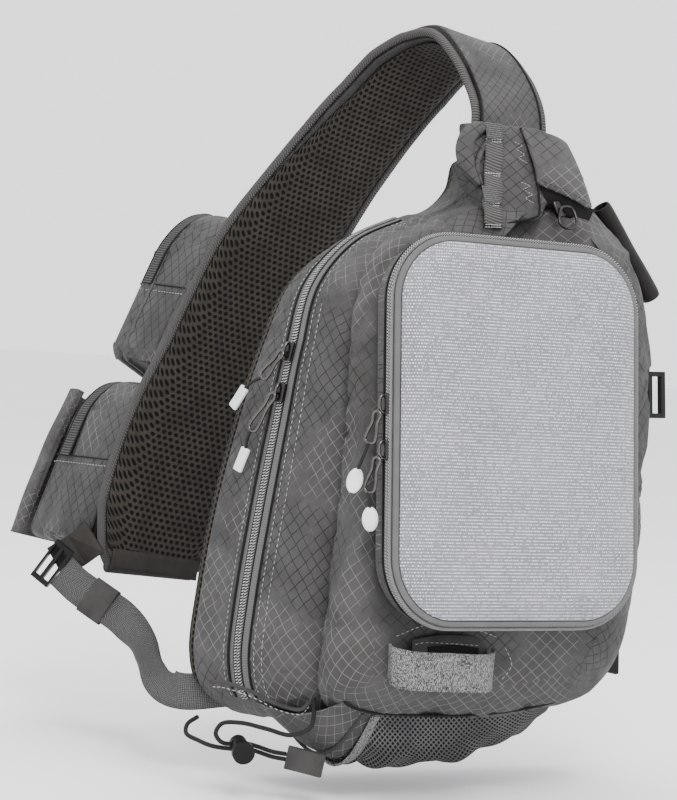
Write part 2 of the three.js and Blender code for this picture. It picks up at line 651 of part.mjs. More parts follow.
// The shoulder strap: a padded band swept through rows from the neck over the shoulder to its free end.
// Columns are shares of the strap's shift, reach, drop and width from the shoulder, and the lean and
// swing in degrees of the direction across it.
const strapRows = [
  { x: 0.01, y: -0.84, z: -0.2067, wide: 0.56, lean: 2, swing: 0 },
  { x: 0.02, y: -0.78, z: -0.137, wide: 0.53, lean: 3, swing: 0 },
  { x: 0.025, y: -0.58, z: -0.08, wide: 0.5, lean: 8, swing: 0 },
  { x: 0.01, y: -0.31, z: -0.027, wide: 0.5, lean: 0, swing: 2 },
  { x: 0, y: 0, z: 0, wide: 0.54, lean: -10, swing: 10 },
  { x: -0.01, y: 0.34, z: -0.015, wide: 0.65, lean: -19, swing: 13 },
  { x: -0.065, y: 0.62, z: -0.06, wide: 0.76, lean: -21, swing: 15 },
  { x: -0.155, y: 0.8, z: -0.13, wide: 0.79, lean: -18, swing: 15 },
  { x: -0.28, y: 0.89, z: -0.217, wide: 0.83, lean: -16, swing: 15 },
  { x: -0.43, y: 0.955, z: -0.328, wide: 0.9, lean: -14, swing: 15 },
  { x: -0.575, y: 0.965, z: -0.436, wide: 0.955, lean: -14, swing: 15 },
  { x: -0.68, y: 0.945, z: -0.542, wide: 0.98, lean: -15, swing: 15 },
  { x: -0.775, y: 0.9, z: -0.64, wide: 1, lean: -15, swing: 15 },
  { x: -0.872, y: 0.845, z: -0.728, wide: 1.03, lean: -15, swing: 15 },
  { x: -0.948, y: 0.79, z: -0.815, wide: 1.04, lean: -16, swing: 15 },
  { x: -1.005, y: 0.745, z: -0.9, wide: 1.01, lean: -17, swing: 15 },
  { x: -1.035, y: 0.71, z: -0.96, wide: 0.86, lean: -17, swing: 15 },
  { x: -1.045, y: 0.7, z: -1, wide: 0.54, lean: -17, swing: 15 },
];
const strapCurve = new THREE.CatmullRomCurve3(strapRows.map(({ x, y, z }) => vec(
  strap.apexX + x * strap.shift, strap.apexY + y * strap.reach, strap.apexZ + z * strap.drop,
)), false, "centripetal");

function strapFrame(t) {
  const place = THREE.MathUtils.clamp(t, 0, 1) * (strapRows.length - 1);
  const index = Math.min(strapRows.length - 2, Math.floor(place));
  const low = strapRows[index];
  const high = strapRows[index + 1];
  const mix = (key) => THREE.MathUtils.lerp(low[key], high[key], place - index);
  const lean = THREE.MathUtils.degToRad(mix("lean"));
  const swing = THREE.MathUtils.degToRad(mix("swing"));
  const tangent = strapCurve.getTangent(THREE.MathUtils.clamp(t, 0, 1));
  const across = vec(Math.cos(lean) * Math.cos(swing), Math.cos(lean) * Math.sin(swing), Math.sin(lean));
  const inward = tangent.clone().cross(across).normalize();
  across.crossVectors(inward, tangent).normalize();
  const centre = strapCurve.getPoint(THREE.MathUtils.clamp(t, 0, 1));
  return { centre, across, inward, width: mix("wide") * strap.width };
}
function strapPoint(t, a, b) {
  const { centre, across, inward } = strapFrame(t);
  return centre.addScaledVector(across, a).addScaledVector(inward, b);
}
function strapLoft(section, from, to, steps) {
  return loft(Array.from({ length: steps + 1 }, (_, i) => {
    const t = THREE.MathUtils.lerp(from, to, i / steps);
    return section(strapFrame(t).width / 2).map(([a, b]) => strapPoint(t, a, b));
  }));
}

const strapSteps = 34;
function makeStrap() {
  const h = strap.pad / 2;
  const edge = strap.binding + gap;
  const seat = gap + 0.8;
  add("strap_pad", strapLoft((w) => [
    [edge - w, -h * 0.35], [-w * 0.7, -h], [w * 0.7, -h], [w - edge, -h * 0.35],
    [w - edge, h * 0.35], [w * 0.7, h], [-w * 0.7, h], [edge - w, h * 0.35],
  ], 0, 1, strapSteps), smoothCloth);
  add("strap_mesh", strapLoft((w) => [
    [-w * 0.68, h + seat],
    [w * 0.68, h + seat],
    [w * 0.64, h + seat + strap.mesh],
    [-w * 0.64, h + seat + strap.mesh],
  ], 0, 1, strapSteps), spacerMesh);
  for (const [name, side] of [["left", -1], ["right", 1]]) {
    const section = (w) => [
      [side * (w - strap.binding), -h * 0.35], [side * (w - 1), -h * 0.3], [side * w, 0],
      [side * (w - 1), h * 0.3], [side * (w - strap.binding), h * 0.35],
    ];
    add(`strap_binding_${name}`, strapLoft(section, 0, 1, strapSteps), tapeCloth);
  }
}

// A pouch on the strap's outer face, between two turns of the strap, with a rounded top and a deeper foot
const flareAt = ({ from, to, flare }, t) => 1 + flare * (t - from) / (to - from);
function patchRings(place, left, right, levels) {
  const { from, to } = place;
  const steps = 5;
  const length = strapCurve.getLength();
  return levels.map(({ deep, inset }) => {
    const ring = [];
    const halfA = ((right - left) / 2) - inset;
    const midA = (left + right) / 2;
    const insetT = inset / length;
    const cornerT = pocket.corner / length;
    const corner = Math.min(pocket.corner, halfA * 0.8);
    const ends = [[1, 1, 0], [-1, 1, 0.5], [-1, -1, 1], [1, -1, 1.5]];
    for (const [sa, st, start] of ends) {
      const lowEnd = st > 0;
      const shrink = lowEnd ? 0.35 : 1;
      for (let i = 0; i <= steps; i++) {
        const angle = (start + (0.5 * i) / steps) * Math.PI;
        const a = midA + sa * (halfA - corner * shrink) + corner * shrink * Math.cos(angle);
        const end = lowEnd ? to - insetT - cornerT * shrink : from + insetT + cornerT * shrink;
        const t = end + cornerT * shrink * Math.sin(angle);
        const root = strap.pad / 2;
        ring.push(strapPoint(t, a, -(root + (deep - root) * flareAt(place, t))));
      }
    }
    return ring;
  });
}
const strapPockets = [
  { name: "upper", from: 0.565, to: 0.722, left: -0.44, right: 0.3, seat: 2.2, flare: 0.02 },
  { name: "lower", from: 0.742, to: 0.938, left: -0.46, right: 0.3, seat: 1.2, flare: 0.28 },
];
function makeStrapPockets() {
  for (const place of strapPockets) {
    const { name, from, to, left, right, seat } = place;
    const a0 = left * strap.width;
    const a1 = right * strap.width;
    const back = strap.pad / 2 + seat;
    const outer = loft(patchRings(place, a0, a1, [
      { deep: back, inset: 0 }, { deep: back + pocket.depth * 0.7, inset: 0 },
      { deep: back + pocket.depth * 0.93, inset: 4 }, { deep: back + pocket.depth, inset: 12 },
    ]));
    const hollow = loft(patchRings(place, a0, a1, [
      { deep: back + pocket.wall, inset: 3 }, { deep: back + pocket.depth * 0.7, inset: 3 },
      { deep: back + pocket.depth - pocket.wall - 2, inset: 14 },
    ]));
    const middle = (from + to) / 2;
    const high = middle - 0.02;
    const zipDeep = back + pocket.depth * 0.75 * flareAt(place, high);
    const zipAlong = strapPoint(middle - 0.05, a0, -back).sub(strapPoint(middle, a0, -back));
    const { across } = strapFrame(middle);
    const slot = block(strapPoint(high, a0, -zipDeep), zipAlong, across, [pocket.slotLength, 16, pocket.slotWidth]);
    add(`strap_pocket_${name}`, cut(outer, hollow, slot), ripstop);
    const zipMiddle = strapPoint(high, a0 - 1, -zipDeep);
    const strip = block(zipMiddle, zipAlong, across, [pocket.zipLength, 1.4, pocket.zipWidth]);
    add(`strap_zip_${name}`, strip, tapeCloth);
  }
  const lower = strapPockets[1];
  const { left, to, from } = lower;
  const sleeveSection = [
    [left, 0.6], [0.1, 0.6], [0.1, 16], [left, 16], [left, 14], [0.04, 14], [0.04, 2.6], [left, 2.6],
  ];
  const sleeveRings = [from + 0.022, (from + to) / 2, to - 0.004].map((t) => {
    const out = strap.pad / 2 + (lower.seat + pocket.depth) * flareAt(lower, t);
    return sleeveSection.map(([a, b]) => strapPoint(t, a * strap.width, -(out + b)));
  });
  add("strap_sleeve", loft(sleeveRings), smoothCloth);
}

// The sling webbing from the bag's corner to the strap's end, through its keeper and ladder lock
const slingRoot = gussetPoint(3.1 / outline.length, 0.16, webbing.thick / 2 + gap + 2.2);
const slingStations = [
  { at: slingRoot, across: vec(-0.45, 0.3, 0.85) },
  { at: slingRoot.clone().add(vec(-8, 21, -4)), across: vec(-0.2, 0.35, 0.9) },
  { at: vec(-155, 82, 24), across: vec(0.3, 0.75, 0.55) },
  { at: vec(-156, 106, 35), across: vec(0.45, 0.8, 0.3) },
  { at: vec(-157, 127, 49), across: vec(0.4, 0.65, 0.55) },
  { at: vec(-165, 145, 62), across: vec(0.3, 0.25, 0.92) },
  { at: vec(-178, 156, 71), across: vec(0.25, 0.05, 0.95) },
  { at: vec(-190, 166, 80), across: vec(0.2, 0, 0.97) },
  { at: vec(-200, 175, 90), across: vec(0.1, 0, 1) },
];
function makeSling() {
  add("sling_webbing", tape(between(slingStations, 40), webbing.width, webbing.thick), heather);
  const last = slingStations.at(-1);
  const along = last.at.clone().sub(slingStations.at(-3).at).normalize();
  const normal = along.clone().cross(last.across).normalize();
  const { at: keeperAt, across: keeperAcross } = slingStations[6];
  const keeperAlong = slingStations[7].at.clone().sub(slingStations[5].at).normalize();
  const keeperNormal = keeperAlong.clone().cross(keeperAcross).normalize();
  const keeperMiddle = keeperAt.clone().addScaledVector(keeperNormal, 2);
  const outer = block(keeperMiddle, keeperAlong, keeperAcross, [keeper.length, keeper.width, keeper.depth]);
  const bore = block(keeperMiddle, keeperAlong, keeperAcross, [
    2 * keeper.length, keeper.width - 3, keeper.depth - 2 * keeper.wall,
  ]);
  add("keeper", cut(outer, bore), tapeCloth);
  const folded = (lift, along, across) => (
    { at: keeperAt.clone().addScaledVector(keeperNormal, lift).addScaledVector(keeperAlong, along), across }
  );
  const loopStations = [
    folded(4.4, -keeper.fold, keeperAcross),
    folded(3, 0, keeperAcross),
    folded(3.4, keeper.fold, slingStations[7].across),
  ];
  add("webbing_loop", tape(loopStations, webbing.width, webbing.thick), heather);
  const lockAt = last.at.clone().addScaledVector(along, 8.6);
  const frameOuter = block(lockAt, along, last.across, [ladder.length, ladder.width, ladder.thick]);
  const [windowA, windowB] = [-3.6, 3.6].map((offset) => (
    block(lockAt.clone().addScaledVector(along, offset), along, last.across, [ladder.slot, ladder.slotWidth, 8])
  ));
  add("ladder_lock", cut(frameOuter, windowA, windowB), blackPlastic);
  const tabEnd = strapPoint(0.93, -strapFrame(0.93).width / 2 - 1.8, 0);
  const tabStations = [
    { at: lockAt.clone().addScaledVector(normal, 7), across: last.across },
    { at: tabEnd.clone().lerp(lockAt, 0.5).addScaledVector(normal, 8), across: last.across },
    { at: tabEnd, across: last.across },
  ];
  add("strap_tab", tape(tabStations, webbing.width, 2), smoothCloth);
}

// Short webbing tabs on the right side, the upper one carrying a plastic rectangle
function makeSideTabs() {
  const t = 21.1 / outline.length;
  const out = gussetPoint(t, 0.47, 1).sub(gussetPoint(t, 0.47, 0)).normalize();
  const root = gussetPoint(t, 0.47, gap + 1);
  const tip = root.clone().addScaledVector(out, 14);
  add("side_tab_upper", tape([{ at: root, across: vec(0, 0.1, 1) }, { at: tip, across: vec(0, 0.1, 1) }],
    webbing.width, 3), heather);
  const ring = tip.clone().addScaledVector(out, 8.3);
  const frame = block(ring, out, vec(0, 0.1, 1), [15, 34, 5]);
  const window = block(ring, out, vec(0, 0.1, 1), [8, 27, 8]);
  add("side_buckle_upper", cut(frame, window), blackPlastic);
  const u = 24.8 / outline.length;
  const lowOut = gussetPoint(u, 0.45, 1).sub(gussetPoint(u, 0.45, 0)).normalize();
  const lowRoot = gussetPoint(u, 0.45, gap + 1.2);
  add("side_tab_lower", tape([
    { at: lowRoot, across: vec(-0.3, 0.3, 0.9) },
    { at: lowRoot.clone().addScaledVector(lowOut, 20), across: vec(-0.3, 0.3, 0.9) },
  ], webbing.width, 3.5), darkCloth);
}

// The shock cord's two strands, chosen by hand, its spring lock and its end tab
const cordLong = [
  vec(-99.5, -35, 34), vec(-103, -43, 26), vec(-109, -50, 18), vec(-120, -46, 13), vec(-132, -34, 15),
  vec(-143, -17, 16), vec(-151, -5, 13), vec(-155, -6, 7), vec(-152, -9, 2), vec(-144, -10, 0.6),
];
const cordShort = [
  vec(-154, 26, 12), vec(-163, 22, 8), vec(-166, 16, 3), vec(-161, 7, 0), vec(-155, -2, -2), vec(-144, -10, -2.6),
];
const tailLong = [vec(-134, -10, 0.6), vec(-127, -13, -1), vec(-120, -20, -3), vec(-113, -27, -3.5)];
const tailShort = [vec(-134, -10, -2.6), vec(-127, -13, -4.4), vec(-120, -20, -6.4), vec(-113, -27, -7)];
const lockMiddle = vec(-139, -10, -1);
const lockAxis = vec(-0.25, -0.95, -0.1).normalize();
const cordRun = vec(1, 0, 0);

const cordParts = new THREE.Group();
bag.add(cordParts);
function makeCords() {
  add("cord_long", tube(cordLong, cord.radius, cord.sides), shockCord, cordParts);
  add("cord_short", tube(cordShort, cord.radius, cord.sides), shockCord, cordParts);
  add("tail_long", tube(tailLong, cord.radius, cord.sides), shockCord, cordParts);
  add("tail_short", tube(tailShort, cord.radius, cord.sides), shockCord, cordParts);
}
function makeCordLock() {
  const back = lockMiddle.clone().addScaledVector(lockAxis, -lock.length / 2);
  const front = lockMiddle.clone().addScaledVector(lockAxis, lock.length / 2);
  const barrel = bar(back, front, lock.radius, 20);
  const bore = bar(
    back.clone().addScaledVector(lockAxis, lock.wall), front.clone().addScaledVector(lockAxis, 1),
    lock.radius - lock.wall, 16,
  );
  const across = lockAxis.clone().cross(cordRun).normalize();
  const passage = block(lockMiddle, cordRun, across, [30, 4 * cord.radius + 1.6, 2 * cord.radius + 1.2]);
  add("lock_barrel", cut(barrel, bore, passage), blackPlastic);
  const stemRadius = lock.radius - lock.wall - lock.slack / 2;
  const stemBack = back.clone().addScaledVector(lockAxis, lock.wall + lock.travel + 0.5);
  const capStart = front.clone().addScaledVector(lockAxis, lock.travel + 0.5);
  const capEnd = capStart.clone().addScaledVector(lockAxis, lock.capDepth);
  const button = join(bar(stemBack, capEnd, stemRadius, 16), bar(capStart, capEnd, lock.capRadius, 20));
  add("lock_button", button, blackPlastic);
  const endMiddle = vec(-102.6, -34.5, -7.2);
  const endBlock = block(endMiddle, vec(0.8, -0.58, -0.15), vec(0, 0, 1), [25, 15, 5]);
  add("cord_end", endBlock, blackPlastic);
}

makeMainCompartment();
makeSideZip();
makeFrontCompartment();
makeBackPanel();
makeCase();
makeSidePulls();
makeCasePulls();
makeNeckCollar();
makeDaisyChain();
makeNeckFlap();
makeRodSleeve();
makeFrontLoop();
makePouches();
makeStrap();
makeStrapPockets();
makeSling();
makeSideTabs();
makeCords();
makeCordLock();

// The origin lies on the strap's inner face where the shoulder carries it
const shoulder = strapPoint(4 / (strapRows.length - 1), 0, strap.pad / 2 + gap + strap.mesh);
bag.position.copy(shoulder).negate();
const group = new THREE.Group();
group.add(bag);

export default group;
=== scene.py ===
import math

import bpy
import bmesh
import numpy as np
from mathutils import Matrix, Vector


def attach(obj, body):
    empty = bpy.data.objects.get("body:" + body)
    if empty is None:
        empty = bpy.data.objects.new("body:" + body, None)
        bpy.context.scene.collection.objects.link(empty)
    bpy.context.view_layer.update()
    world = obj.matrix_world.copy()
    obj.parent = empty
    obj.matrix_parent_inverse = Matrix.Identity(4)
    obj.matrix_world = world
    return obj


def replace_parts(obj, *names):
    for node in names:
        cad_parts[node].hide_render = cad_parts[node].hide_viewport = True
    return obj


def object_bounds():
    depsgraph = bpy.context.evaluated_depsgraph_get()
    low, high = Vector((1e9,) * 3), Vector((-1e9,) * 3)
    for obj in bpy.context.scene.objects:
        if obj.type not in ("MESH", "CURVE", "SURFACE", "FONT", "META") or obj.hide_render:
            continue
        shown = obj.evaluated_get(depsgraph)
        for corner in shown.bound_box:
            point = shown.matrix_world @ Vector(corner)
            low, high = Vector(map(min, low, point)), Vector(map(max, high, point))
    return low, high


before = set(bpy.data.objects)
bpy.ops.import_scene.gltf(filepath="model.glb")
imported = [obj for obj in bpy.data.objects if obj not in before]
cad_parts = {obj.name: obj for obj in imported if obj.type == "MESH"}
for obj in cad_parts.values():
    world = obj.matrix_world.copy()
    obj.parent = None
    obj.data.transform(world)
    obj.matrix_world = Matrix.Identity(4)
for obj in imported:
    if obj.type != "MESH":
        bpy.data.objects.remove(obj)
cadBox = [list(corner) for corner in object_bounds()]

# Places are first given in millimetres from the bag's front, then moved to the shoulder point
millimetre = 0.001
rad = math.radians


def vec(*values):
    return np.array(values, float)


def unit(v):
    v = np.asarray(v, float)
    return v / np.maximum(np.linalg.norm(v, axis=-1, keepdims=True), 1e-9)


def mix(a, b, share):
    return a + (b - a) * share


def ease(value, low, high):
    share = np.clip((np.asarray(value, float) - low) / (high - low), 0, 1)
    return share * share * (3 - 2 * share)


# A centripetal curve through points, at places from 0 to 1
def curveAt(points, t, closed=False):
    points = np.asarray(points, float)
    count = len(points)
    t = np.asarray(t, float)
    if closed:
        place = (t % 1) * count
        index = np.floor(place).astype(int)
        near = [points[(index + step) % count] for step in (-1, 0, 1, 2)]
    else:
        place = np.clip(t, 0, 1) * (count - 1)
        index = np.minimum(np.floor(place).astype(int), count - 2)
        longer = np.vstack([2 * points[0] - points[1], points, 2 * points[-1] - points[-2]])
        near = [longer[index + step] for step in range(4)]
    w = (place - index)[..., None]
    step = [np.sqrt(np.maximum(np.linalg.norm(b - a, axis=-1, keepdims=True), 1e-6))
            for a, b in zip(near, near[1:])]
    a, b, c, d = near
    startRun = ((b - a) / step[0] - (c - a) / (step[0] + step[1]) + (c - b) / step[1]) * step[1]
    endRun = ((c - b) / step[1] - (d - b) / (step[1] + step[2]) + (d - c) / step[2]) * step[1]
    square, cube = 3 * (c - b) - 2 * startRun - endRun, 2 * (b - c) + startRun + endRun
    return b + startRun * w + square * w**2 + cube * w**3


def lengthAlong(points):
    return np.concatenate([[0], np.cumsum(np.linalg.norm(np.diff(points, axis=0), axis=1))])


# Evenly spaced points along a curve through the given ones
def evenly(points, count, closed=False):
    fine = curveAt(points, np.linspace(0, 1, 40 * len(points)), closed)
    run = lengthAlong(fine)
    want = np.linspace(0, run[-1], count)
    return np.stack([np.interp(want, run, fine[:, k]) for k in range(3)], axis=1)


# The body's outline from the front, as in the frame: shares of the half width and of the height
body = dict(midX=15, halfWidth=160, baseZ=8, height=420, backY=50, seamY=-35, seamRiseFrom=0.62,
            seamSlope=0.37, bulge=5)
panel = dict(y=-60.6, midUp=0.49, tilt=7, rollFromUp=0.171, roll=26, rollUp=0.133, neckUp=0.8,
             neckSlope=0.6)
outlineColumns = ("backX", "backZ", "seamX", "seamZ", "faceX", "faceZ")
outlineRows = np.array([
    (0, 0, -0.06, 0.04, 0, 0.05),
    (-0.47, 0, -0.41, 0.04, -0.39, 0.055),
    (-0.84, 0.01, -0.6, 0.045, -0.54, 0.063),
    (-0.99, 0.045, -0.68, 0.065, -0.655, 0.08),
    (-1.04, 0.1, -0.71, 0.105, -0.705, 0.12),
    (-1.025, 0.21, -0.705, 0.2, -0.7, 0.205),
    (-0.98, 0.34, -0.67, 0.34, -0.67, 0.34),
    (-0.905, 0.475, -0.65, 0.48, -0.645, 0.48),
    (-0.805, 0.61, -0.65, 0.605, -0.63, 0.605),
    (-0.695, 0.71, -0.61, 0.7, -0.58, 0.7),
    (-0.505, 0.775, -0.48, 0.775, -0.47, 0.765),
    (-0.27, 0.82, -0.27, 0.815, -0.27, 0.805),
    (-0.055, 0.85, -0.045, 0.85, -0.045, 0.845),
    (0.055, 0.89, 0.07, 0.89, 0.08, 0.89),
    (0.095, 0.94, 0.11, 0.94, 0.12, 0.935),
    (0.32, 0.955, 0.31, 0.955, 0.3, 0.95),
    (0.53, 0.94, 0.51, 0.94, 0.47, 0.935),
    (0.57, 0.905, 0.53, 0.905, 0.485, 0.9),
    (0.655, 0.86, 0.615, 0.86, 0.55, 0.845),
    (0.83, 0.79, 0.77, 0.79, 0.65, 0.775),
    (0.95, 0.685, 0.805, 0.695, 0.7, 0.695),
    (0.99, 0.575, 0.81, 0.575, 0.72, 0.575),
    (1, 0.435, 0.8, 0.435, 0.7, 0.435),
    (0.97, 0.29, 0.77, 0.295, 0.665, 0.29),
    (0.94, 0.17, 0.735, 0.19, 0.605, 0.18),
    (0.93, 0.085, 0.69, 0.12, 0.54, 0.125),
    (0.86, 0.03, 0.605, 0.075, 0.47, 0.092),
    (0.47, 0, 0.295, 0.048, 0.28, 0.065),
])
rowCount = len(outlineRows)


def bodyX(across):
    return body["midX"] + across * body["halfWidth"]


def bodyZ(up):
    return body["baseZ"] + up * body["height"]


def outlinePoints(kind):
    x = outlineRows[:, outlineColumns.index(kind + "X")]
    z = outlineRows[:, outlineColumns.index(kind + "Z")]
    return np.stack([bodyX(x), np.zeros(rowCount), bodyZ(z)], axis=1)


backLine, seamLine, faceLine = (outlinePoints(kind) for kind in ("back", "seam", "face"))


def seamY(z):
    return body["seamY"] + body["seamSlope"] * np.maximum(0, z - bodyZ(body["seamRiseFrom"]))


def panelY(z):
    return panel["y"] + (z - bodyZ(panel["midUp"])) * math.tan(rad(panel["tilt"]))


def faceY(z):
    below = np.maximum(0, bodyZ(panel["rollFromUp"]) - z) / (panel["rollUp"] * body["height"])
    above = np.maximum(0, z - bodyZ(panel["neckUp"]))
    return panelY(z) + panel["roll"] * below**2 + panel["neckSlope"] * above


# A point on a wall between two outlines: t runs round, share runs across, out steps outwards
def wallPoint(first, second, t, share, out):
    t, share, out = np.broadcast_arrays(*(np.asarray(v, float) for v in (t, share, out)))
    share3 = share[..., None]

    def at(place):
        return mix(curveAt(first, place, True), curveAt(second, place, True), share3)

    step = 0.25 / rowCount
    run = at(t + step) - at(t - step)
    outward = unit(np.stack([-run[..., 2], np.zeros_like(t), run[..., 0]], axis=-1))
    return at(t) + outward * out[..., None]


def gussetPoint(t, share, out=0.0):
    z = curveAt(backLine, t, True)[..., 2]
    soft = np.clip((bodyZ(1) - z) / (0.3 * body["height"]), 0, 1)
    bulge = body["bulge"] * soft * np.sin(np.pi * np.asarray(share, float))
    point = wallPoint(backLine, seamLine, t, share, out + bulge)
    point[..., 1] = mix(body["backY"], seamY(point[..., 2]), share)
    return point


def frontPoint(t, share, out=0.0):
    bulge = 3 * np.sin(np.pi * np.asarray(share, float))
    point = wallPoint(seamLine, faceLine, t, share, out + bulge)
    point[..., 1] = mix(seamY(point[..., 2]) - 0.3, faceY(point[..., 2]), share)
    return point


# The shoulder strap: shares of its shift, reach, drop and width, with the lean and swing across it
strap = dict(apex=(70, 124, 497), shift=190, reach=90, drop=415, width=116, pad=12, mesh=2, binding=7)
strapRows = np.array([
    (0.01, -0.84, -0.2067, 0.56, 2, 0),
    (0.02, -0.78, -0.137, 0.53, 3, 0),
    (0.025, -0.58, -0.08, 0.5, 8, 0),
    (0.01, -0.31, -0.027, 0.5, 0, 2),
    (0, 0, 0, 0.54, -10, 10),
    (-0.01, 0.34, -0.015, 0.65, -19, 13),
    (-0.065, 0.62, -0.06, 0.76, -21, 15),
    (-0.155, 0.8, -0.13, 0.79, -18, 15),
    (-0.28, 0.89, -0.217, 0.83, -16, 15),
    (-0.43, 0.955, -0.328, 0.9, -14, 15),
    (-0.575, 0.965, -0.436, 0.955, -14, 15),
    (-0.68, 0.945, -0.542, 0.98, -15, 15),
    (-0.775, 0.9, -0.64, 1, -15, 15),
    (-0.872, 0.845, -0.728, 1.03, -15, 15),
    (-0.948, 0.79, -0.815, 1.04, -16, 15),
    (-1.005, 0.745, -0.9, 1.01, -17, 15),
    (-1.035, 0.71, -0.96, 0.86, -17, 15),
    (-1.045, 0.7, -1, 0.54, -17, 15),
])
strapLine = np.stack([
    strap["apex"][0] + strapRows[:, 0] * strap["shift"],
    strap["apex"][1] + strapRows[:, 1] * strap["reach"],
    strap["apex"][2] + strapRows[:, 2] * strap["drop"],
], axis=1)
strapLength = lengthAlong(curveAt(strapLine, np.linspace(0, 1, 400)))[-1]


def strapWidth(t):
    rows = np.linspace(0, 1, len(strapRows))
    return np.interp(t, rows, strapRows[:, 3]) * strap["width"]


# A point on the strap: a across it and b towards the wearer
def strapPoint(t, a, b):
    t, a, b = np.broadcast_arrays(*(np.asarray(v, float) for v in (t, a, b)))
    rows = np.linspace(0, 1, len(strapRows))
    lean = np.radians(np.interp(t, rows, strapRows[:, 4]))
    swing = np.radians(np.interp(t, rows, strapRows[:, 5]))
    tiny = 1e-4
    ahead, behind = np.minimum(t + tiny, 1), np.maximum(t - tiny, 0)
    tangent = unit(curveAt(strapLine, ahead) - curveAt(strapLine, behind))
    across = np.stack([np.cos(lean) * np.cos(swing), np.cos(lean) * np.sin(swing), np.sin(lean)], axis=-1)
    inward = unit(np.cross(tangent, across))
    across = unit(np.cross(inward, tangent))
    return curveAt(strapLine, t) + across * a[..., None] + inward * b[..., None]


shoulder = strapPoint(4 / (len(strapRows) - 1), 0, strap["pad"] / 2 + 0.3 + strap["mesh"])


def toRow(points):
    return (np.asarray(points, float) - shoulder) * millimetre


# The camera
view = dict(azimuth=-28, elevation=2, roll=4, at=(-770.9, -1303.0, 281.1), lens=99)


def placeCamera():
    azimuth, elevation, roll = (rad(view[key]) for key in ("azimuth", "elevation", "roll"))
    level = math.cos(elevation)
    back = Vector((math.sin(azimuth) * level, -math.cos(azimuth) * level, math.sin(elevation)))
    right = Vector((math.cos(azimuth), math.sin(azimuth), 0))
    up = back.cross(right)
    rolledRight = math.cos(roll) * right + math.sin(roll) * up
    rolledUp = math.cos(roll) * up - math.sin(roll) * right
    turn = Matrix((rolledRight, rolledUp, back)).transposed().to_4x4()
    data = bpy.data.cameras.new("camera")
    data.lens = view["lens"]
    data.sensor_width = 36
    data.sensor_fit = "AUTO"
    data.clip_end = 20
    camera = bpy.data.objects.new("camera", data)
    bpy.context.scene.collection.objects.link(camera)
    camera.matrix_world = Matrix.Translation(toRow(view["at"])) @ turn
    bpy.context.scene.camera = camera


placeCamera()


# Shader wiring: a wire is one output, and sums are written as sums
class Wire:
    def __init__(self, tree, socket):
        self.tree = tree
        self.socket = socket

    def node(self, kind, values=None, output=0, **settings):
        made = self.tree.nodes.new(kind)
        for key, value in settings.items():
            setattr(made, key, value)
        for key, value in (values or {}).items():
            self.feed(made.inputs[key], value)
        return Wire(self.tree, made.outputs[output])

    def feed(self, slot, value):
        if isinstance(value, Wire):
            self.tree.links.new(value.socket, slot)
        else:
            slot.default_value = value

    def math(self, operation, *others):
        return self.node("ShaderNodeMath", dict(enumerate((self, *others))), operation=operation)

    def blend(self, low, high, kind="MIX"):
        return self.node("ShaderNodeMix", {0: self, 6: low, 7: high}, 2, data_type="RGBA", blend_type=kind)

    def band(self, low, high, start=0.0, end=1.0):
        values = {0: self, 1: low, 2: high, 3: start, 4: end}
        return self.node("ShaderNodeMapRange", values, interpolation_type="SMOOTHSTEP")

    def parts(self):
        split = self.tree.nodes.new("ShaderNodeSeparateXYZ")
        self.feed(split.inputs[0], self)
        return [Wire(self.tree, socket) for socket in split.outputs]

    def __add__(self, other):
        return self.math("ADD", other)

    def __sub__(self, other):
        return self.math("SUBTRACT", other)

    def __rsub__(self, other):
        return self.node("ShaderNodeMath", {0: other, 1: self}, operation="SUBTRACT")

    def __mul__(self, other):
        return self.math("MULTIPLY", other)

    def __truediv__(self, other):
        return self.math("DIVIDE", other)

    __radd__ = __add__
    __rmul__ = __mul__


def grey(value, warmth=0.0):
    return (value * (1 + warmth), value, value * (1 - warmth), 1)


# A material with its principled shader, its cloth coordinates in millimetres and a noise of any size
class Finish:
    def __init__(self, name, roughness=0.7, metallic=0.0, **constants):
        self.material = bpy.data.materials.new(name)
        self.material.use_nodes = True
        tree = self.material.node_tree
        self.shader = tree.nodes["Principled BSDF"]
        self.start = Wire(tree, None)
        self.shader.inputs["Roughness"].default_value = roughness
        self.shader.inputs["Metallic"].default_value = metallic
        self.shader.inputs["Specular IOR Level"].default_value = 0.5 if metallic else 0.15
        for key, value in constants.items():
            self.shader.inputs[key.replace("_", " ")].default_value = value
        self.height = None

    def cloth(self, layer="flat"):
        uv = self.start.node("ShaderNodeUVMap", uv_map=layer)
        return uv.parts()[:2]

    def place(self):
        return self.start.node("ShaderNodeTexCoord", output=3)

    def noise(self, size, detail=3.0, where=None, roughness=0.55):
        where = where or self.place()
        values = {"Vector": where, "Scale": 1000 / size, "Detail": detail, "Roughness": roughness}
        return self.start.node("ShaderNodeTexNoise", values)

    def lay(self, slot, wire):
        self.start.feed(self.shader.inputs[slot], wire)
        return self

    def bump(self, height, depth, strength=1.0):
        values = {"Height": height, "Distance": depth * millimetre, "Strength": strength}
        if self.height:
            values["Normal"] = self.height
        self.height = self.start.node("ShaderNodeBump", values)
        self.lay("Normal", self.height)
        return self


def wave(coordinate, pitch, offset=0.0):
    return (coordinate * (2 * math.pi / pitch) + offset).math("SINE")


def near(coordinate, pitch, half):
    inside = (coordinate / pitch).math("FRACT") - 0.5
    return 1 - inside.math("ABSOLUTE").band(half / pitch * 0.5, half / pitch)


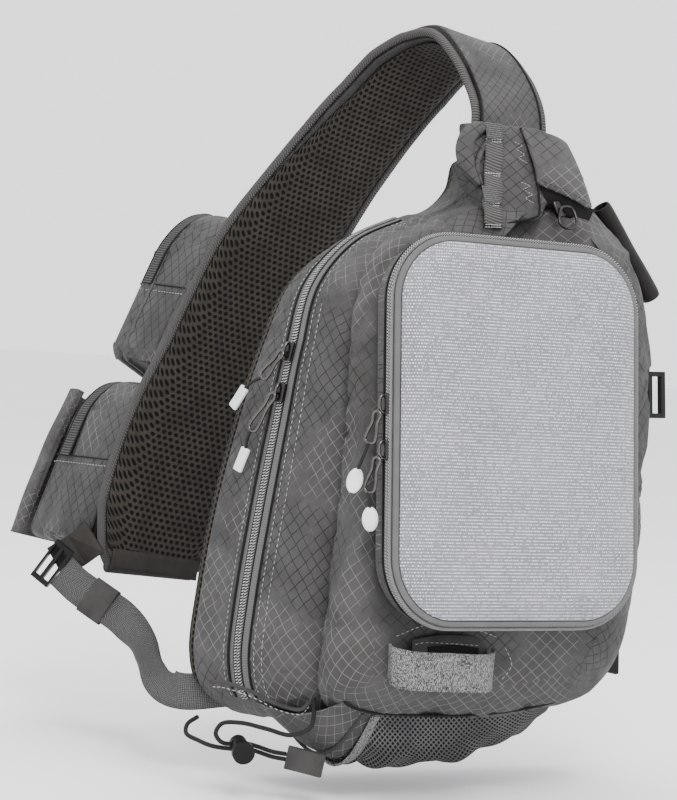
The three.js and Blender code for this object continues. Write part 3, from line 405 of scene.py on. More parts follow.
# Cloths
def makeRipstop():
    finish = Finish("ripstop", roughness=0.62)
    u, v = finish.cloth()
    pitch = 10.6
    lines = near(u + v * 1.2, pitch, 0.5).math("MAXIMUM", near(u - v * 1.2, pitch, 0.5))
    weave = wave(u, 0.9) * wave(v, 0.9)
    ground = finish.noise(26, 4).band(0.3, 0.7).blend(grey(0.042, 0.025), grey(0.06, 0.02))
    # Painted sheen: the thread lines turn lighter towards the bottom of the bag, by height, for light
    # caught on the threads. Apart from that, their mix of dark and light threads is random
    low = finish.place().parts()[2].band(-0.2, -0.46)
    thread_tone_and_sheen = (finish.noise(70, 3) + low * 0.1).band(0.5, 0.62).blend(grey(0.008), grey(0.17, 0.02))
    finish.lay("Base Color", (lines * 0.75).blend(ground, thread_tone_and_sheen))
    finish.bump(lines, 0.22)
    finish.bump(weave, 0.05)
    finish.bump((finish.noise(34, 3) - 0.5).math("ABSOLUTE").band(0, 0.12), 0.9, 0.5)
    finish.bump(finish.noise(9, 3), 0.5, 0.5)
    return finish.material


def makePlain(name, tone, pitch=0.8, warmth=0.0, roughness=0.7, contrast=0.2):
    finish = Finish(name, roughness=roughness)
    u, v = finish.cloth()
    weave = wave(u, pitch) * wave(v, pitch)
    patch = finish.noise(14, 4).band(0.3, 0.7)
    finish.lay("Base Color", patch.blend(grey(tone * (1 - contrast), warmth),
                                         grey(tone * (1 + contrast), warmth)))
    finish.bump(weave, 0.08)
    finish.bump(finish.noise(7, 3), 0.4, 0.4)
    return finish.material


def makeRibbed(name, tone, pitch, warmth=0.0, depth=0.5, low=0.45, high=1.25):
    finish = Finish(name, roughness=0.75)
    u, v = finish.cloth()
    ribs = wave(v, pitch).band(-0.8, 0.8)
    cross = wave(u, 0.9).band(-1, 1)
    base = ribs.blend(grey(tone * low, warmth), grey(tone * high, warmth))
    finish.lay("Base Color", base)
    finish.bump(ribs, depth)
    finish.bump(cross, 0.08)
    return finish.material


def makeHeather():
    finish = Finish("heather_webbing", roughness=0.8)
    u, v = finish.cloth()
    fold = ((u / 8.3).math("FRACT") - 0.5).math("ABSOLUTE") * 8.3
    twill = wave(fold * 0.8 + v, 1.5).band(-0.8, 0.8)
    flecks = finish.noise(1.1, 2).band(0.4, 0.6)
    yarn = finish.noise(7, 2).band(0.35, 0.65)
    base = flecks.blend(yarn.blend(grey(0.05, 0.01), grey(0.1, 0.01)), grey(0.3, 0.01))
    finish.lay("Base Color", twill.blend(base * 0.5, base))
    finish.bump(twill, 0.4)
    finish.bump(finish.noise(2.5, 2), 0.2)
    return finish.material


# Webbing with fine cross ribs, its yarns flecked along their length
def makeWebbing():
    finish = Finish("webbing", roughness=0.8)
    u, v = finish.cloth()
    ribs = wave(v, 1.5, 0.4).band(-0.9, 0.7)
    yarns = wave(u, 1.2).band(-1, 0.6)
    flecks = finish.noise(0.9, 2).band(0.35, 0.65)
    low = flecks.blend(grey(0.035, 0.01), grey(0.055, 0.01))
    high = flecks.blend(grey(0.1, 0.01), grey(0.15, 0.01))
    finish.lay("Base Color", (ribs * yarns).blend(low, high))
    finish.bump(ribs, 0.35)
    finish.bump(yarns, 0.1)
    return finish.material


def makeSpacer():
    finish = Finish("spacer_mesh", roughness=0.85)
    u, v = finish.cloth()
    pitch = 4.6
    shifted = (v / (pitch * 2)).math("FRACT").math("GREATER_THAN", 0.5) * (pitch / 2)
    du = (((u + shifted) / pitch).math("FRACT") - 0.5) * pitch
    dv = ((v / pitch).math("FRACT") - 0.5) * pitch
    away = (du * du + dv * dv * 1.1).math("SQRT")
    hole = 1 - away.band(1.15, 1.8)
    knit = wave(u + v, 0.9).band(-1, 1)
    base = finish.noise(20, 3).band(0.3, 0.7).blend(grey(0.024, 0.16), grey(0.034, 0.14))
    # Painted shade: the holes are near-black for the shade inside them, and they are also sunk by the bump
    # below
    finish.lay("Base Color", hole.blend(base, grey(0.002, 0.05)))
    finish.bump(hole * -1.0, 1.4)
    finish.bump(knit, 0.06)
    return finish.material


def makeCaseCloth():
    finish = Finish("case_cloth", roughness=0.55)
    u, v = finish.cloth()
    pitch, rows = 1.55, 2.1
    shifted = (v / (rows * 2)).math("FRACT").math("GREATER_THAN", 0.5) * (pitch / 2)
    du = (((u + shifted) / pitch).math("FRACT") - 0.5) * pitch
    dv = ((v / rows).math("FRACT") - 0.5) * rows
    away = (du * du + dv * dv * 1.6).math("SQRT")
    shown = finish.noise(1.3, 2).band(0.4, 0.56)
    dot = (1 - away.band(0.34, 0.68)) * shown
    lines = wave(v, rows / 2).band(-1, 1) * 0.25
    base = finish.noise(30, 3).band(0.3, 0.7).blend((0.165, 0.168, 0.188, 1), (0.2, 0.203, 0.225, 1))
    finish.lay("Base Color", dot.blend(lines.blend(base, (0.12, 0.12, 0.135, 1)), (0.8, 0.81, 0.85, 1)))
    finish.bump(dot, 0.12)
    return finish.material


def makeNet():
    finish = Finish("net", roughness=0.8)
    u, v = finish.cloth()
    pitch = 4.4
    strands = near(u + v * 1.1, pitch, 1.0).math("MAXIMUM", near(u - v * 1.1, pitch, 1.0))
    light = finish.noise(30, 2).band(0.3, 0.7).blend(grey(0.06), grey(0.105))
    # Painted shade: the holes between the strands are near-black for the shaded inside of the pocket seen
    # through them
    finish.lay("Base Color", strands.blend(grey(0.003), light))
    finish.bump(strands, 0.9)
    return finish.material


def makeSatin():
    finish = Finish("satin", roughness=0.42)
    u, v = finish.cloth()
    weave = wave(u + v * 0.3, 0.6)
    finish.lay("Base Color", finish.noise(10, 3).band(0.3, 0.7).blend(grey(0.004, 0.1), grey(0.009, 0.12)))
    finish.bump(weave, 0.05)
    finish.bump(finish.noise(8, 3), 0.8, 0.6)
    return finish.material


def makeBraid():
    finish = Finish("shock_cord", roughness=0.6)
    u, v = finish.cloth()
    braid = wave(u + v * 1.2, 1.6).math("MAXIMUM", wave(u - v * 1.2, 1.6)).band(-0.2, 1)
    finish.lay("Base Color", braid.blend(grey(0.006), grey(0.024)))
    finish.bump(braid, 0.3)
    return finish.material


def makeHard(name, colour, roughness, metallic=0.0, wear=0.1):
    finish = Finish(name, metallic=metallic)
    grain = finish.noise(3, 4)
    finish.lay("Roughness", grain.band(0.2, 0.8, max(0.05, roughness - wear), roughness + wear))
    tone = finish.noise(12, 2).band(0.2, 0.8)
    finish.lay("Base Color", tone.blend((*(c * 0.85 for c in colour), 1),
                                        (*(min(1, c * 1.1) for c in colour), 1)))
    finish.bump(grain, 0.03)
    return finish.material


looks = dict(
    ripstop=makeRipstop(),
    plain=makePlain("plain_cloth", 0.05),
    dark=makePlain("dark_cloth", 0.008),
    tape=makeRibbed("zip_tape", 0.11, 1.1, depth=0.15, low=0.7, high=1.1),
    rim=makePlain("case_rim", 0.105, contrast=0.08),
    coil=makeRibbed("zip_coil", 0.2, 2.0, depth=0.9, low=0.06, high=1.9),
    piping=makePlain("piping", 0.007),
    edging=makePlain("edging", 0.036, warmth=0.03),
    lining=makePlain("lining", 0.022, warmth=0.1),
    binding=makeRibbed("binding", 0.075, 2.2, warmth=0.03, depth=0.5),
    ribs=makeRibbed("ribbed_zip", 0.055, 2.0, depth=0.6),
    heather=makeHeather(),
    webbing=makeWebbing(),
    spacer=makeSpacer(),
    case=makeCaseCloth(),
    net=makeNet(),
    satin=makeSatin(),
    braid=makeBraid(),
    gunmetal=makeHard("gunmetal", (0.045, 0.042, 0.04), 0.3, metallic=1.0),
    nickel=makeHard("nickel", (0.1, 0.095, 0.09), 0.22, metallic=1.0),
    plastic=makeHard("black_plastic", (0.006, 0.006, 0.006), 0.42),
    rubber=makeHard("white_rubber", (0.72, 0.73, 0.74), 0.45, wear=0.05),
    thread=makePlain("thread", 0.36, pitch=0.5),
)


# A slot name listed for each look
slotOf = dict(ripstop="ripstop", plain="plain_cloth", tape="zip_tape", coil="zip_tape", rim="case_fabric",
              case="case_fabric", spacer="spacer_mesh", binding="binding", heather="heather_webbing",
              webbing="heather_webbing", satin="satin_lining", net="net", braid="shock_cord",
              plastic="black_plastic", rubber="white_rubber")


def makeObject(name, points, faces, look, uv):
    mesh = bpy.data.meshes.new(name)
    mesh.from_pydata([tuple(p) for p in toRow(points)], [], faces)
    mesh.materials.append(looks[look])
    mesh.uv_layers.new(name="flat").data.foreach_set("uv", np.asarray(uv, float).ravel())
    mesh.polygons.foreach_set("use_smooth", [True] * len(mesh.polygons))
    mesh.update()
    obj = bpy.data.objects.new(name, mesh)
    bpy.context.scene.collection.objects.link(obj)
    look in slotOf
    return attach(obj, "bag")


# A surface through a grid of points; around closes each row on itself, and caps closes its ends
def makeGrid(name, grid, look, around=False, caps=False, planar=False):
    grid = np.asarray(grid, float)
    rows, columns = grid.shape[:2]
    down = np.concatenate([np.zeros((1, columns)),
                           np.cumsum(np.linalg.norm(np.diff(grid, axis=0), axis=2), axis=0)])
    closed = np.concatenate([grid, grid[:, :1]], axis=1) if around else grid
    steps = np.linalg.norm(np.diff(closed, axis=1), axis=2).mean(axis=0)
    across = np.concatenate([[0], np.cumsum(steps)])
    faces = []
    uv = []
    for r in range(rows - 1):
        for c in range(columns if around else columns - 1):
            n = (c + 1) % columns
            face = [(r, c, c), (r, n, c + 1), (r + 1, n, c + 1), (r + 1, c, c)]
            faces.append([i * columns + j for i, j, k in face])
            uv.extend((across[k], down[i, j]) for i, j, k in face)
    if caps:
        for row, turn in ((0, -1), (rows - 1, 1)):
            ring = [row * columns + c for c in range(columns)][::turn]
            faces.append(ring)
            uv.extend(grid[row, i % columns, [0, 2]] for i in ring)
    if planar:
        flat = grid.reshape(-1, 3)
        uv = [(flat[i, 0] * 0.9 - flat[i, 1] * 0.45, flat[i, 2]) for face in faces for i in face]
    return makeObject(name, grid.reshape(-1, 3), faces, look, uv)


# Hands back a piece of cloth as it is, whatever its cut size in millimetres
def declareSheet(obj, width, length, held, *restsOn):
    return obj


def bandLength(stations):
    return lengthAlong(curveAt([station[0] for station in stations], np.linspace(0, 1, 200)))[-1]


def outwardFacing(obj, joined=False):
    made = bmesh.new()
    made.from_mesh(obj.data)
    if joined:
        bmesh.ops.remove_doubles(made, verts=made.verts, dist=1e-7)
    bmesh.ops.recalc_face_normals(made, faces=made.faces)
    made.to_mesh(obj.data)
    made.free()
    return obj


def makeShell(name, grid, look, planar=False):
    return outwardFacing(makeGrid(name, grid, look, around=True, caps=True, planar=planar))


# One value, or several evenly spaced ones, for each of count places
def spread(values, count):
    values = np.atleast_1d(values)
    return np.interp(np.linspace(0, 1, count), np.linspace(0, 1, len(values)), values)


# A band of cloth or webbing through stations: places and the direction across, with rounded edges
def makeBand(name, stations, width, thick, look, count=60):
    places = np.array([station[0] for station in stations], float)
    sideways = np.array([station[1] for station in stations], float)
    t = np.linspace(0, 1, count)
    line = curveAt(places, t)
    across = unit(curveAt(sideways, t))
    along = unit(np.gradient(line, axis=0))
    normal = unit(np.cross(along, across))
    across = unit(np.cross(normal, along))
    width = spread(width, count)
    half, deep = width / 2, thick / 2
    edge = [(-1, -0.4), (-0.985, -1), (-0.5, -1), (0, -1), (0.5, -1), (0.985, -1), (1, -0.4),
            (1, 0.4), (0.985, 1), (0.5, 1), (0, 1), (-0.5, 1), (-0.985, 1), (-1, 0.4)]
    grid = np.stack([line + across * (a * half)[:, None] + normal * b * deep for a, b in edge], axis=1)
    return makeShell(name, grid, look)


# A round tube through points, of one radius or of one for each point
def makeTube(name, points, radius, look, sides=16, count=None, closed=False, even=True, planar=False):
    points = np.asarray(points, float)
    count = count or 12 * len(points)
    line = evenly(points, count + 1, closed) if even else points
    if closed:
        line = line[:-1]
    along = np.roll(line, -1, axis=0) - np.roll(line, 1, axis=0) if closed else np.gradient(line, axis=0)
    along = unit(along)
    normal = unit(np.cross(along[0], vec(0.13, 0.31, 0.94)))
    normals = []
    for run in along:
        normal = unit(normal - run * np.dot(normal, run))
        normals.append(normal)
    normals = np.array(normals)
    binormals = np.cross(along, normals)
    reach = spread(radius, len(line))
    angles = np.linspace(0, 2 * np.pi, sides, endpoint=False)
    grid = (line[:, None] + normals[:, None] * (np.cos(angles)[None, :, None] * reach[:, None, None])
            + binormals[:, None] * (np.sin(angles)[None, :, None] * reach[:, None, None]))
    if closed:
        grid = np.concatenate([grid, grid[:1]], axis=0)
        return outwardFacing(makeGrid(name, grid, look, around=True), joined=True)
    return makeShell(name, grid, look, planar)


# Short thread stitches along a line
def makeStitches(name, line, look="thread", stitch=2.4, space=1.4, radius=0.32):
    run = lengthAlong(line)
    starts = np.arange(0, run[-1] - stitch, stitch + space)
    points = []
    faces = []
    sides = 5
    for start in starts:
        ends = [np.array([np.interp(start + s, run, line[:, k]) for k in range(3)])
                for s in (0, stitch / 2, stitch)]
        along = unit(ends[2] - ends[0])
        side = unit(np.cross(along, vec(0.2, -0.9, 0.35)))
        other = np.cross(along, side)
        base = len(points)
        for end, thick in zip(ends, (0.5, 1.0, 0.5)):
            for k in range(sides):
                angle = 2 * math.pi * k / sides
                points.append(end + (side * math.cos(angle) + other * math.sin(angle)) * radius * thick)
        for ring in range(2):
            for k in range(sides):
                n = (k + 1) % sides
                here = base + ring * sides
                faces.append([here + k, here + n, here + sides + n, here + sides + k])
        faces.append([base + k for k in range(sides)][::-1])
        faces.append([base + 2 * sides + k for k in range(sides)])
    uv = np.zeros((sum(len(face) for face in faces), 2))
    return outwardFacing(makeObject(name, np.array(points), faces, look, uv))


def done(stage):
    print("made", stage, flush=True)


# Cloth a little larger than its seams, swelled by a soft push and kept within a cap of where it was
def settle(obj, pinned, cap, push=2.0, grow=0.03, frames=16):
    mesh = obj.data
    rest = np.empty(3 * len(mesh.vertices))
    mesh.vertices.foreach_get("co", rest)
    seams = obj.vertex_groups.new(name="seams")
    seams.add([int(i) for i in pinned], 1, "REPLACE")
    cloth = obj.modifiers.new("cloth", "CLOTH")
    settings = cloth.settings
    settings.quality = 3
    settings.mass = 0.2
    settings.tension_stiffness = settings.compression_stiffness = 12
    settings.shear_stiffness = 6
    settings.bending_stiffness = 0.4
    settings.air_damping = 3
    settings.shrink_min = -grow
    settings.use_pressure = True
    settings.uniform_pressure_force = push
    settings.vertex_group_mass = "seams"
    settings.effector_weights.gravity = 0
    cloth.collision_settings.use_collision = False
    cloth.point_cache.frame_end = frames
    for frameNumber in range(1, frames + 1):
        bpy.context.scene.frame_set(frameNumber)
    settled = obj.evaluated_get(bpy.context.evaluated_depsgraph_get())
    moved = np.empty(3 * len(mesh.vertices))
    settled.to_mesh().vertices.foreach_get("co", moved)
    settled.to_mesh_clear()
    step = (moved - rest).reshape(-1, 3)
    reach = np.linalg.norm(step, axis=1, keepdims=True)
    limit = cap * millimetre
    step *= limit * np.tanh(reach / limit) / np.maximum(reach, 1e-9)
    obj.modifiers.remove(cloth)
    mesh.vertices.foreach_set("co", (rest.reshape(-1, 3) + step).ravel())
    mesh.update()
    bpy.context.scene.frame_set(1)
    return obj


def gridRows(columns, rows):
    return np.concatenate([np.arange(row * columns, (row + 1) * columns) for row in rows])


# The main compartment: back edge, gusset and seam edge
def makeMain():
    around = 336
    t = np.arange(around) / around
    profile = [(0, -9), (0, -4), (0.015, -1.2), (0.04, 0)]
    profile += [(share, 1.6 * max(0, share - 0.6) / 0.26) for share in np.linspace(0.07, 0.86, 30)]
    profile += [(0.89, 1.3), (0.92, -0.6), (0.95, -3.6), (0.975, -6.5), (0.99, -10), (1, -15), (1, -19)]
    grid = np.stack([gussetPoint(t, share, out) for share, out in profile])
    obj = makeShell("main_cloth", grid, "ripstop")
    zipRows = [row for row, (share, _) in enumerate(profile) if abs(share - zipShare) < 0.23]
    last = len(profile)
    return settle(obj, gridRows(around, [0, 1, 2, 3, *zipRows, *range(last - 6, last)]), cap=4)


def makeFront():
    around = 336
    t = np.arange(around) / around
    profile = [(0, -19), (0, -14), (0.02, -8.5), (0.06, -4), (0.1, -0.8), (0.15, 1.6)]
    profile += [(share, 2.6 - 4 * (share - 0.2)) for share in np.linspace(0.2, 0.7, 12)]
    profile += [(0.78, -0.2), (0.86, -1.6), (0.93, -4), (0.97, -7), (1, -11), (1.0, -18)]
    grid = np.stack([frontPoint(t, share, out) for share, out in profile])
    obj = makeShell("front_cloth", grid, "ripstop")
    last = len(profile)
    return settle(obj, gridRows(around, [0, 1, 2, 3, *range(last - 2, last)]), cap=4)


def makeBack():
    around = 224
    t = np.arange(around) / around
    thick, inset = 12, 3
    profile = [(0, -6), (0, -1), (0.15, 0.4), (0.3, 1), (0.55, 0.8), (0.75, 0), (0.9, -2.5), (1, -6),
               (1, -12)]
    rings = []
    for share, out in profile:
        ring = gussetPoint(t, 0, out - inset)
        ring[:, 1] = body["backY"] + 0.3 + share * thick
        rings.append(ring)
    return makeShell("back_pad", np.stack(rings), "spacer")


zipShare = 0.45
for piece, node, fill in ((makeMain(), "main_compartment", 0.5), (makeFront(), "front_compartment", 0.5),
                          (makeBack(), "back_panel", 0.9)):
    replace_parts(piece, node)
seamRun = np.arange(336) / 336
makeTube("body_seam", gussetPoint(seamRun, 1, -6.5), 2.6, "piping", closed=True, count=336, sides=10)
done("body")

# The moulded case, in its own tilted frame
case = dict(midX=7, width=190, height=254, corner=45, baseDepth=22, bandDepth=8, lidDepth=13, groove=7)
caseMidZ = bodyZ(panel["midUp"])
caseAt = vec(case["midX"], panelY(caseMidZ) - 0.7, caseMidZ)
bandBack = -case["baseDepth"]
bandFront = bandBack - case["bandDepth"]
lidFront = bandFront - case["lidDepth"]


def fromCase(points):
    points = np.asarray(points, float)
    tilt = -rad(panel["tilt"])
    turn = np.array([[1, 0, 0], [0, math.cos(tilt), -math.sin(tilt)], [0, math.sin(tilt), math.cos(tilt)]])
    return points @ turn.T + caseAt


def caseRing(inset, y, steps=16):
    corner = max(4, case["corner"] - inset)
    halfX = case["width"] / 2 - inset - corner
    halfZ = case["height"] / 2 - inset - corner
    ring = []
    for sx, sz, start in ((1, 1, 0), (-1, 1, 0.5), (-1, -1, 1), (1, -1, 1.5)):
        for i in range(steps + 1):
            angle = (start + 0.5 * i / steps) * math.pi
            ring.append((sx * halfX + corner * math.cos(angle), y, sz * halfZ + corner * math.sin(angle)))
    return np.array(ring)


def caseLoft(name, profile, look):
    line = curveAt([(inset, y, 0) for inset, y in profile], np.linspace(0, 1, 6 * len(profile)))
    grid = np.stack([fromCase(caseRing(inset, y)) for inset, y, _ in line])
    obj = makeShell(name, grid, look)
    local = np.concatenate([caseRing(inset, y) for inset, y, _ in line])
    layer = obj.data.uv_layers["flat"].data
    flat = np.empty(2 * len(layer))
    corners = np.empty(len(obj.data.loops), int)
    obj.data.loops.foreach_get("vertex_index", corners)
    flat[0::2] = local[corners, 0]
    flat[1::2] = local[corners, 2]
    layer.foreach_set("uv", flat)
    return obj


def makeCase():
    base = caseLoft("case_base_cloth", [
        (20, 0), (12, 0), (6, -2.5), (2.5, -8), (1.2, -14), (1, bandBack + 0.5),
        (2, bandBack + 0.3), (8, bandBack + 0.3),
    ], "ripstop")
    flange = caseLoft("case_flange", [
        (6, bandFront - 0.2), (2.2, bandFront - 0.2), (1.2, bandFront - 1.6), (1.6, bandFront - 3.2),
        (3.2, bandFront - 3.9), (4.6, bandFront - 3.9), (5.4, bandFront - 3.2), (9, bandFront - 2.6),
    ], "rim")
    lid = caseLoft("case_lid_cloth", [
        (9, bandFront - 2.4), (6, bandFront - 2.8), (5.2, bandFront - 4.2), (6.6, bandFront - 5.6),
        (9.6, bandFront - 7.2), (12.6, bandFront - 9.6), (17, bandFront - 11.6),
        (24, lidFront + 0.4), (38, lidFront + 0.5), (60, lidFront + 0.3),
    ], "case")
    band = caseLoft("case_band", [
        (6, bandBack), (1.5, bandBack), (0.2, bandBack - 1), (0, bandBack - 2.6),
        (0, bandFront + 2.6), (0.2, bandFront + 1), (1.5, bandFront), (6, bandFront),
    ], "tape")
    for piece, node in ((base, "case_base"), (flange, "case_lid"), (lid, "case_lid"), (band, "case_zip")):
        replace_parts(piece, node)
    # A dark piping in the groove between flange and lid: partly the real narrow piping, partly painted
    # shade of the groove
    rim = fromCase(caseRing(5.1, bandFront - 3.5))
    makeTube("case_groove_piping_and_shade", rim, 0.6, "edging", closed=True, count=360, sides=8)
    for name, inset, y, radius, look in (
        ("case_coil_front", 0.2, bandFront + 0.2, 1.35, "coil"),
        ("case_coil_back", -0.1, bandFront + 2.7, 1.3, "coil"),
        ("case_seam", 0.3, bandFront + 1.2, 0.9, "piping"),
        ("case_piping", 0.3, bandBack + 0.1, 1.0, "piping"),
    ):
        line = fromCase(caseRing(inset, y))
        makeTube(name, line, radius, look, closed=True, count=420, sides=10)


makeCase()
done("case")


# The strap: its padded outer face, the mesh inside, and the rolled bindings
strapEnd = 0.972


def strapLoft(name, section, look):
    t = np.linspace(0, strapEnd, 150)
    half = strapWidth(t) / 2
    points = [section(w) for w in half]
    grid = np.stack([strapPoint(np.full(len(row), place), [p[0] for p in row], [p[1] for p in row])
                     for place, row in zip(t, points)])
    return makeShell(name, grid, look)


def roundedSection(profile, count):
    return curveAt([(a, b, 0) for a, b in profile], np.linspace(0, 1, count, endpoint=False), True)[:, :2]


def makeStrap():
    h = strap["pad"] / 2
    edge = strap["binding"]

    def padSection(w):
        return roundedSection([
            (edge - w, -h * 0.35), (-w * 0.8, -h * 0.85), (-w * 0.4, -h), (0, -h), (w * 0.4, -h),
            (w * 0.8, -h * 0.85), (w - edge, -h * 0.35), (w - edge, h * 0.35), (w * 0.8, h * 0.85),
            (w * 0.4, h), (0, h), (-w * 0.4, h), (-w * 0.8, h * 0.85), (edge - w, h * 0.35),
        ], 56)

    def meshSection(w):
        low, high = h + 0.2, h + strap["mesh"] + 0.6
        bare = np.interp(w, [44, 53], [6.5, -1.5])
        return roundedSection([
            (-w + edge + bare, h * 0.5), (-w * 0.72, low - 1), (-w * 0.3, low), (0, low), (w * 0.3, low),
            (w * 0.72, low - 1), (w - edge - 1, h * 0.4), (w - edge - 1.4, h * 0.75), (w * 0.7, high - 0.5),
            (w * 0.3, high), (0, high), (-w * 0.3, high), (-w * 0.7, high - 0.6),
            (edge + bare + 0.4 - w, h * 0.95),
        ], 56)

    for name, section, look, node in (("strap_cloth", padSection, "ripstop", "strap_pad"),
                                      ("strap_inner_mesh", meshSection, "spacer", "strap_mesh")):
        piece = strapLoft(name, section, look)
        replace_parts(piece, node)
    for name, side in (("left", -1), ("right", 1)):
        t = np.linspace(0, strapEnd, 160)
        line = strapPoint(t, side * (strapWidth(t) / 2 - 3.2), 1.5)
        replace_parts(makeTube(f"strap_roll_{name}", line, 3.2, "binding", even=False, sides=14),
                    f"strap_binding_{name}")
    t = np.linspace(0.1, 0.5, 150)
    wide = np.interp(t, [0.1, 0.3, 0.42, 0.5], [8, 8, 6, 1])
    tapeLine = [(strapPoint(place, 6 + half / 2 - strapWidth(place) / 2, 5.6),
                 strapPoint(place, 1, 5.6) - strapPoint(place, 0, 5.6))
                for place, half in zip(t[::3], wide[::3])]
    makeBand("strap_tape", tapeLine, wide, 1.6, "edging", count=150)
    share = np.linspace(-0.97, 0.97, 24)
    foot = strapPoint(np.full(24, strapEnd), share * strapWidth(strapEnd) / 2, 1.5)
    makeTube("strap_foot", foot, 5, "lining", sides=16, count=40)
    place = strapEnd - 0.016
    down = strapPoint(place + 0.01, 0, 0) - strapPoint(place, 0, 0)
    share = np.linspace(-0.9, 0.9, 15)
    hem = strapPoint(np.full(15, place), share * strapWidth(place) / 2, h + 1.6 + 1.2 * np.cos(share * 1.5))
    makeBand("strap_hem", [(point, down) for point in hem], 15, 1.6, "lining", count=50)
    ridge = strapPoint(np.linspace(0.02, 0.25, 60), strapWidth(np.linspace(0.02, 0.25, 60)) / 2 - 9, -6.2)
    makeTube("strap_piping", ridge, 0.8, "piping", even=False, sides=8)


makeStrap()
done("strap")


# The neck: its front rises into a collar round the strap's foot
def neckY(z, lift=0.0):
    return np.interp(z, [344, 392, 424], [-44.5, -15.9, -3.6]) - lift


def makeNeck():
    top = [(26, 40, 414), (15, 18, 418), (5, 2, 421), (2, -5, 423), (12, -5, 424.5), (30, -5, 425),
           (48, -5.2, 425.5), (64, -5.6, 425), (76, -5, 420), (88, 0, 415), (96, 14, 411), (101, 30, 409),
           (103, 40, 408)]
    low = [(28, 40, 366), (20, 10, 364), (11, -14, 362), (10, -29, 360), (20, -31, 360), (34, -31, 360),
           (50, -30, 361), (64, -22, 374), (80, -21, 374), (94, -16, 372), (102, -4, 370), (106, 18, 366),
           (108, 40, 364)]
    columns = np.linspace(0, 1, 90)
    upper, lower = curveAt(top, columns), curveAt(low, columns)
    middle = mix(lower, upper, 0.55)
    front = ease(columns, 0.08, 0.25) * (1 - ease(columns, 0.75, 0.95))
    middle[:, 1] = mix(middle[:, 1], neckY(middle[:, 2], 1.5), front)
    rows = [lower, mix(lower, middle, 0.5), middle, mix(middle, upper, 0.55), upper + vec(0, 0.4, -1.2),
            upper + vec(0, 2, 0)]
    down = np.linspace(0, 1, 36)
    shape = np.stack([curveAt([row[c] for row in rows], down) for c in range(len(columns))], axis=1)
    back = shape[::-1] + vec(0, 3.5, 0)
    grid = np.concatenate([shape, back])
    neck = makeShell("neck_cloth", np.transpose(grid, (1, 0, 2)), "ripstop", planar=True)
    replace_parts(neck, "neck_collar")
    ear = [(19, -7, 422), (12, -8, 421), (4, -9.5, 416), (-1, -12, 408), (-2.5, -16, 399), (-1, -19.5, 390),
           (5, -24, 380)]
    makeTube("neck_fold", ear, [3, 5, 6, 6.3, 6, 4.5, 2], "ripstop", sides=20, count=50, planar=True)
    fold = [(26, -8.5, 420), (18, -11, 413), (10, -14, 402), (6, -18, 392), (8, -25, 380)]
    makeTube("neck_crease", fold, [1, 2, 2.4, 2, 0.8], "ripstop", sides=14, count=40, planar=True)
    pipe = [(46, -6.5, 424.5), (52.3, -8.6, 416.7), (54, -13, 406.3), (54.2, -18.5, 393), (53, -25, 378),
            (50, -31.5, 364.5), (42, -34, 361), (30, -34.6, 358), (14, -35.4, 354)]
    makeTube("neck_piping", pipe, 0.8, "piping", sides=10, count=90)
    zigzags = (((40, 0, 414), (46, 0, 412), (40, 0, 409), (47, 0, 406), (41, 0, 403), (48, 0, 400)),
               ((40, 0, 386), (47, 0, 384), (40, 0, 381), (47, 0, 378), (40, 0, 375), (46, 0, 372)))
    for index, corners in enumerate(zigzags):
        line = np.concatenate([np.linspace(a, b, 8) for a, b in zip(corners, corners[1:])])
        line[:, 1] = neckY(line[:, 2], 2.4)
        makeStitches(f"neck_zigzag_{index}", line, stitch=1.6, space=0.8, radius=0.2)


# Webbing rungs tacked down the neck: it stands off between the tacks
def makeDaisy():
    tacks = [(24.5, 424), (22.5, 413), (17.5, 389), (10.8, 368), (7.6, 353)]
    stations = []
    for (x, z), (nextX, nextZ) in zip(tacks, tacks[1:]):
        for share, lift in ((0, 1.8), (0.12, 2.2), (0.5, 3.2), (0.88, 2.2)):
            z0 = mix(z, nextZ, share)
            stations.append(((mix(x, nextX, share), neckY(z0, lift + 1.2), z0), (1, 0.1, -0.05)))
    stations.append(((7.6, neckY(353, 2.6), 353), (1, 0.1, -0.05)))
    band = makeBand("daisy_webbing", stations, 15, 1.6, "binding", count=120)
    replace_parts(band, "daisy_chain")
    declareSheet(band, 15, bandLength(stations), "stretched", "neck_cloth")
    for index, (x, z) in enumerate(tacks[1:]):
        for side, row in (("A", -1), ("B", 0.6)):
            line = np.linspace((x - 7, neckY(z, 4.2), z + row), (x + 7, neckY(z, 4.2), z + row + 0.6), 12)
            makeStitches(f"daisy_tack_{index}{side}", line, stitch=1.6, space=0.5, radius=0.4)
        if index in (0, 2):
            spot = [(vec(x - 0.5, neckY(z + 9, 4.9), z + 12), (1, 0.1, -0.05)),
                    (vec(x, neckY(z, 4.4), z + 1), (1, 0.1, -0.05))]
            makeBand(f"daisy_woven_{index}", spot, 14.4, 0.7, "webbing", count=12)


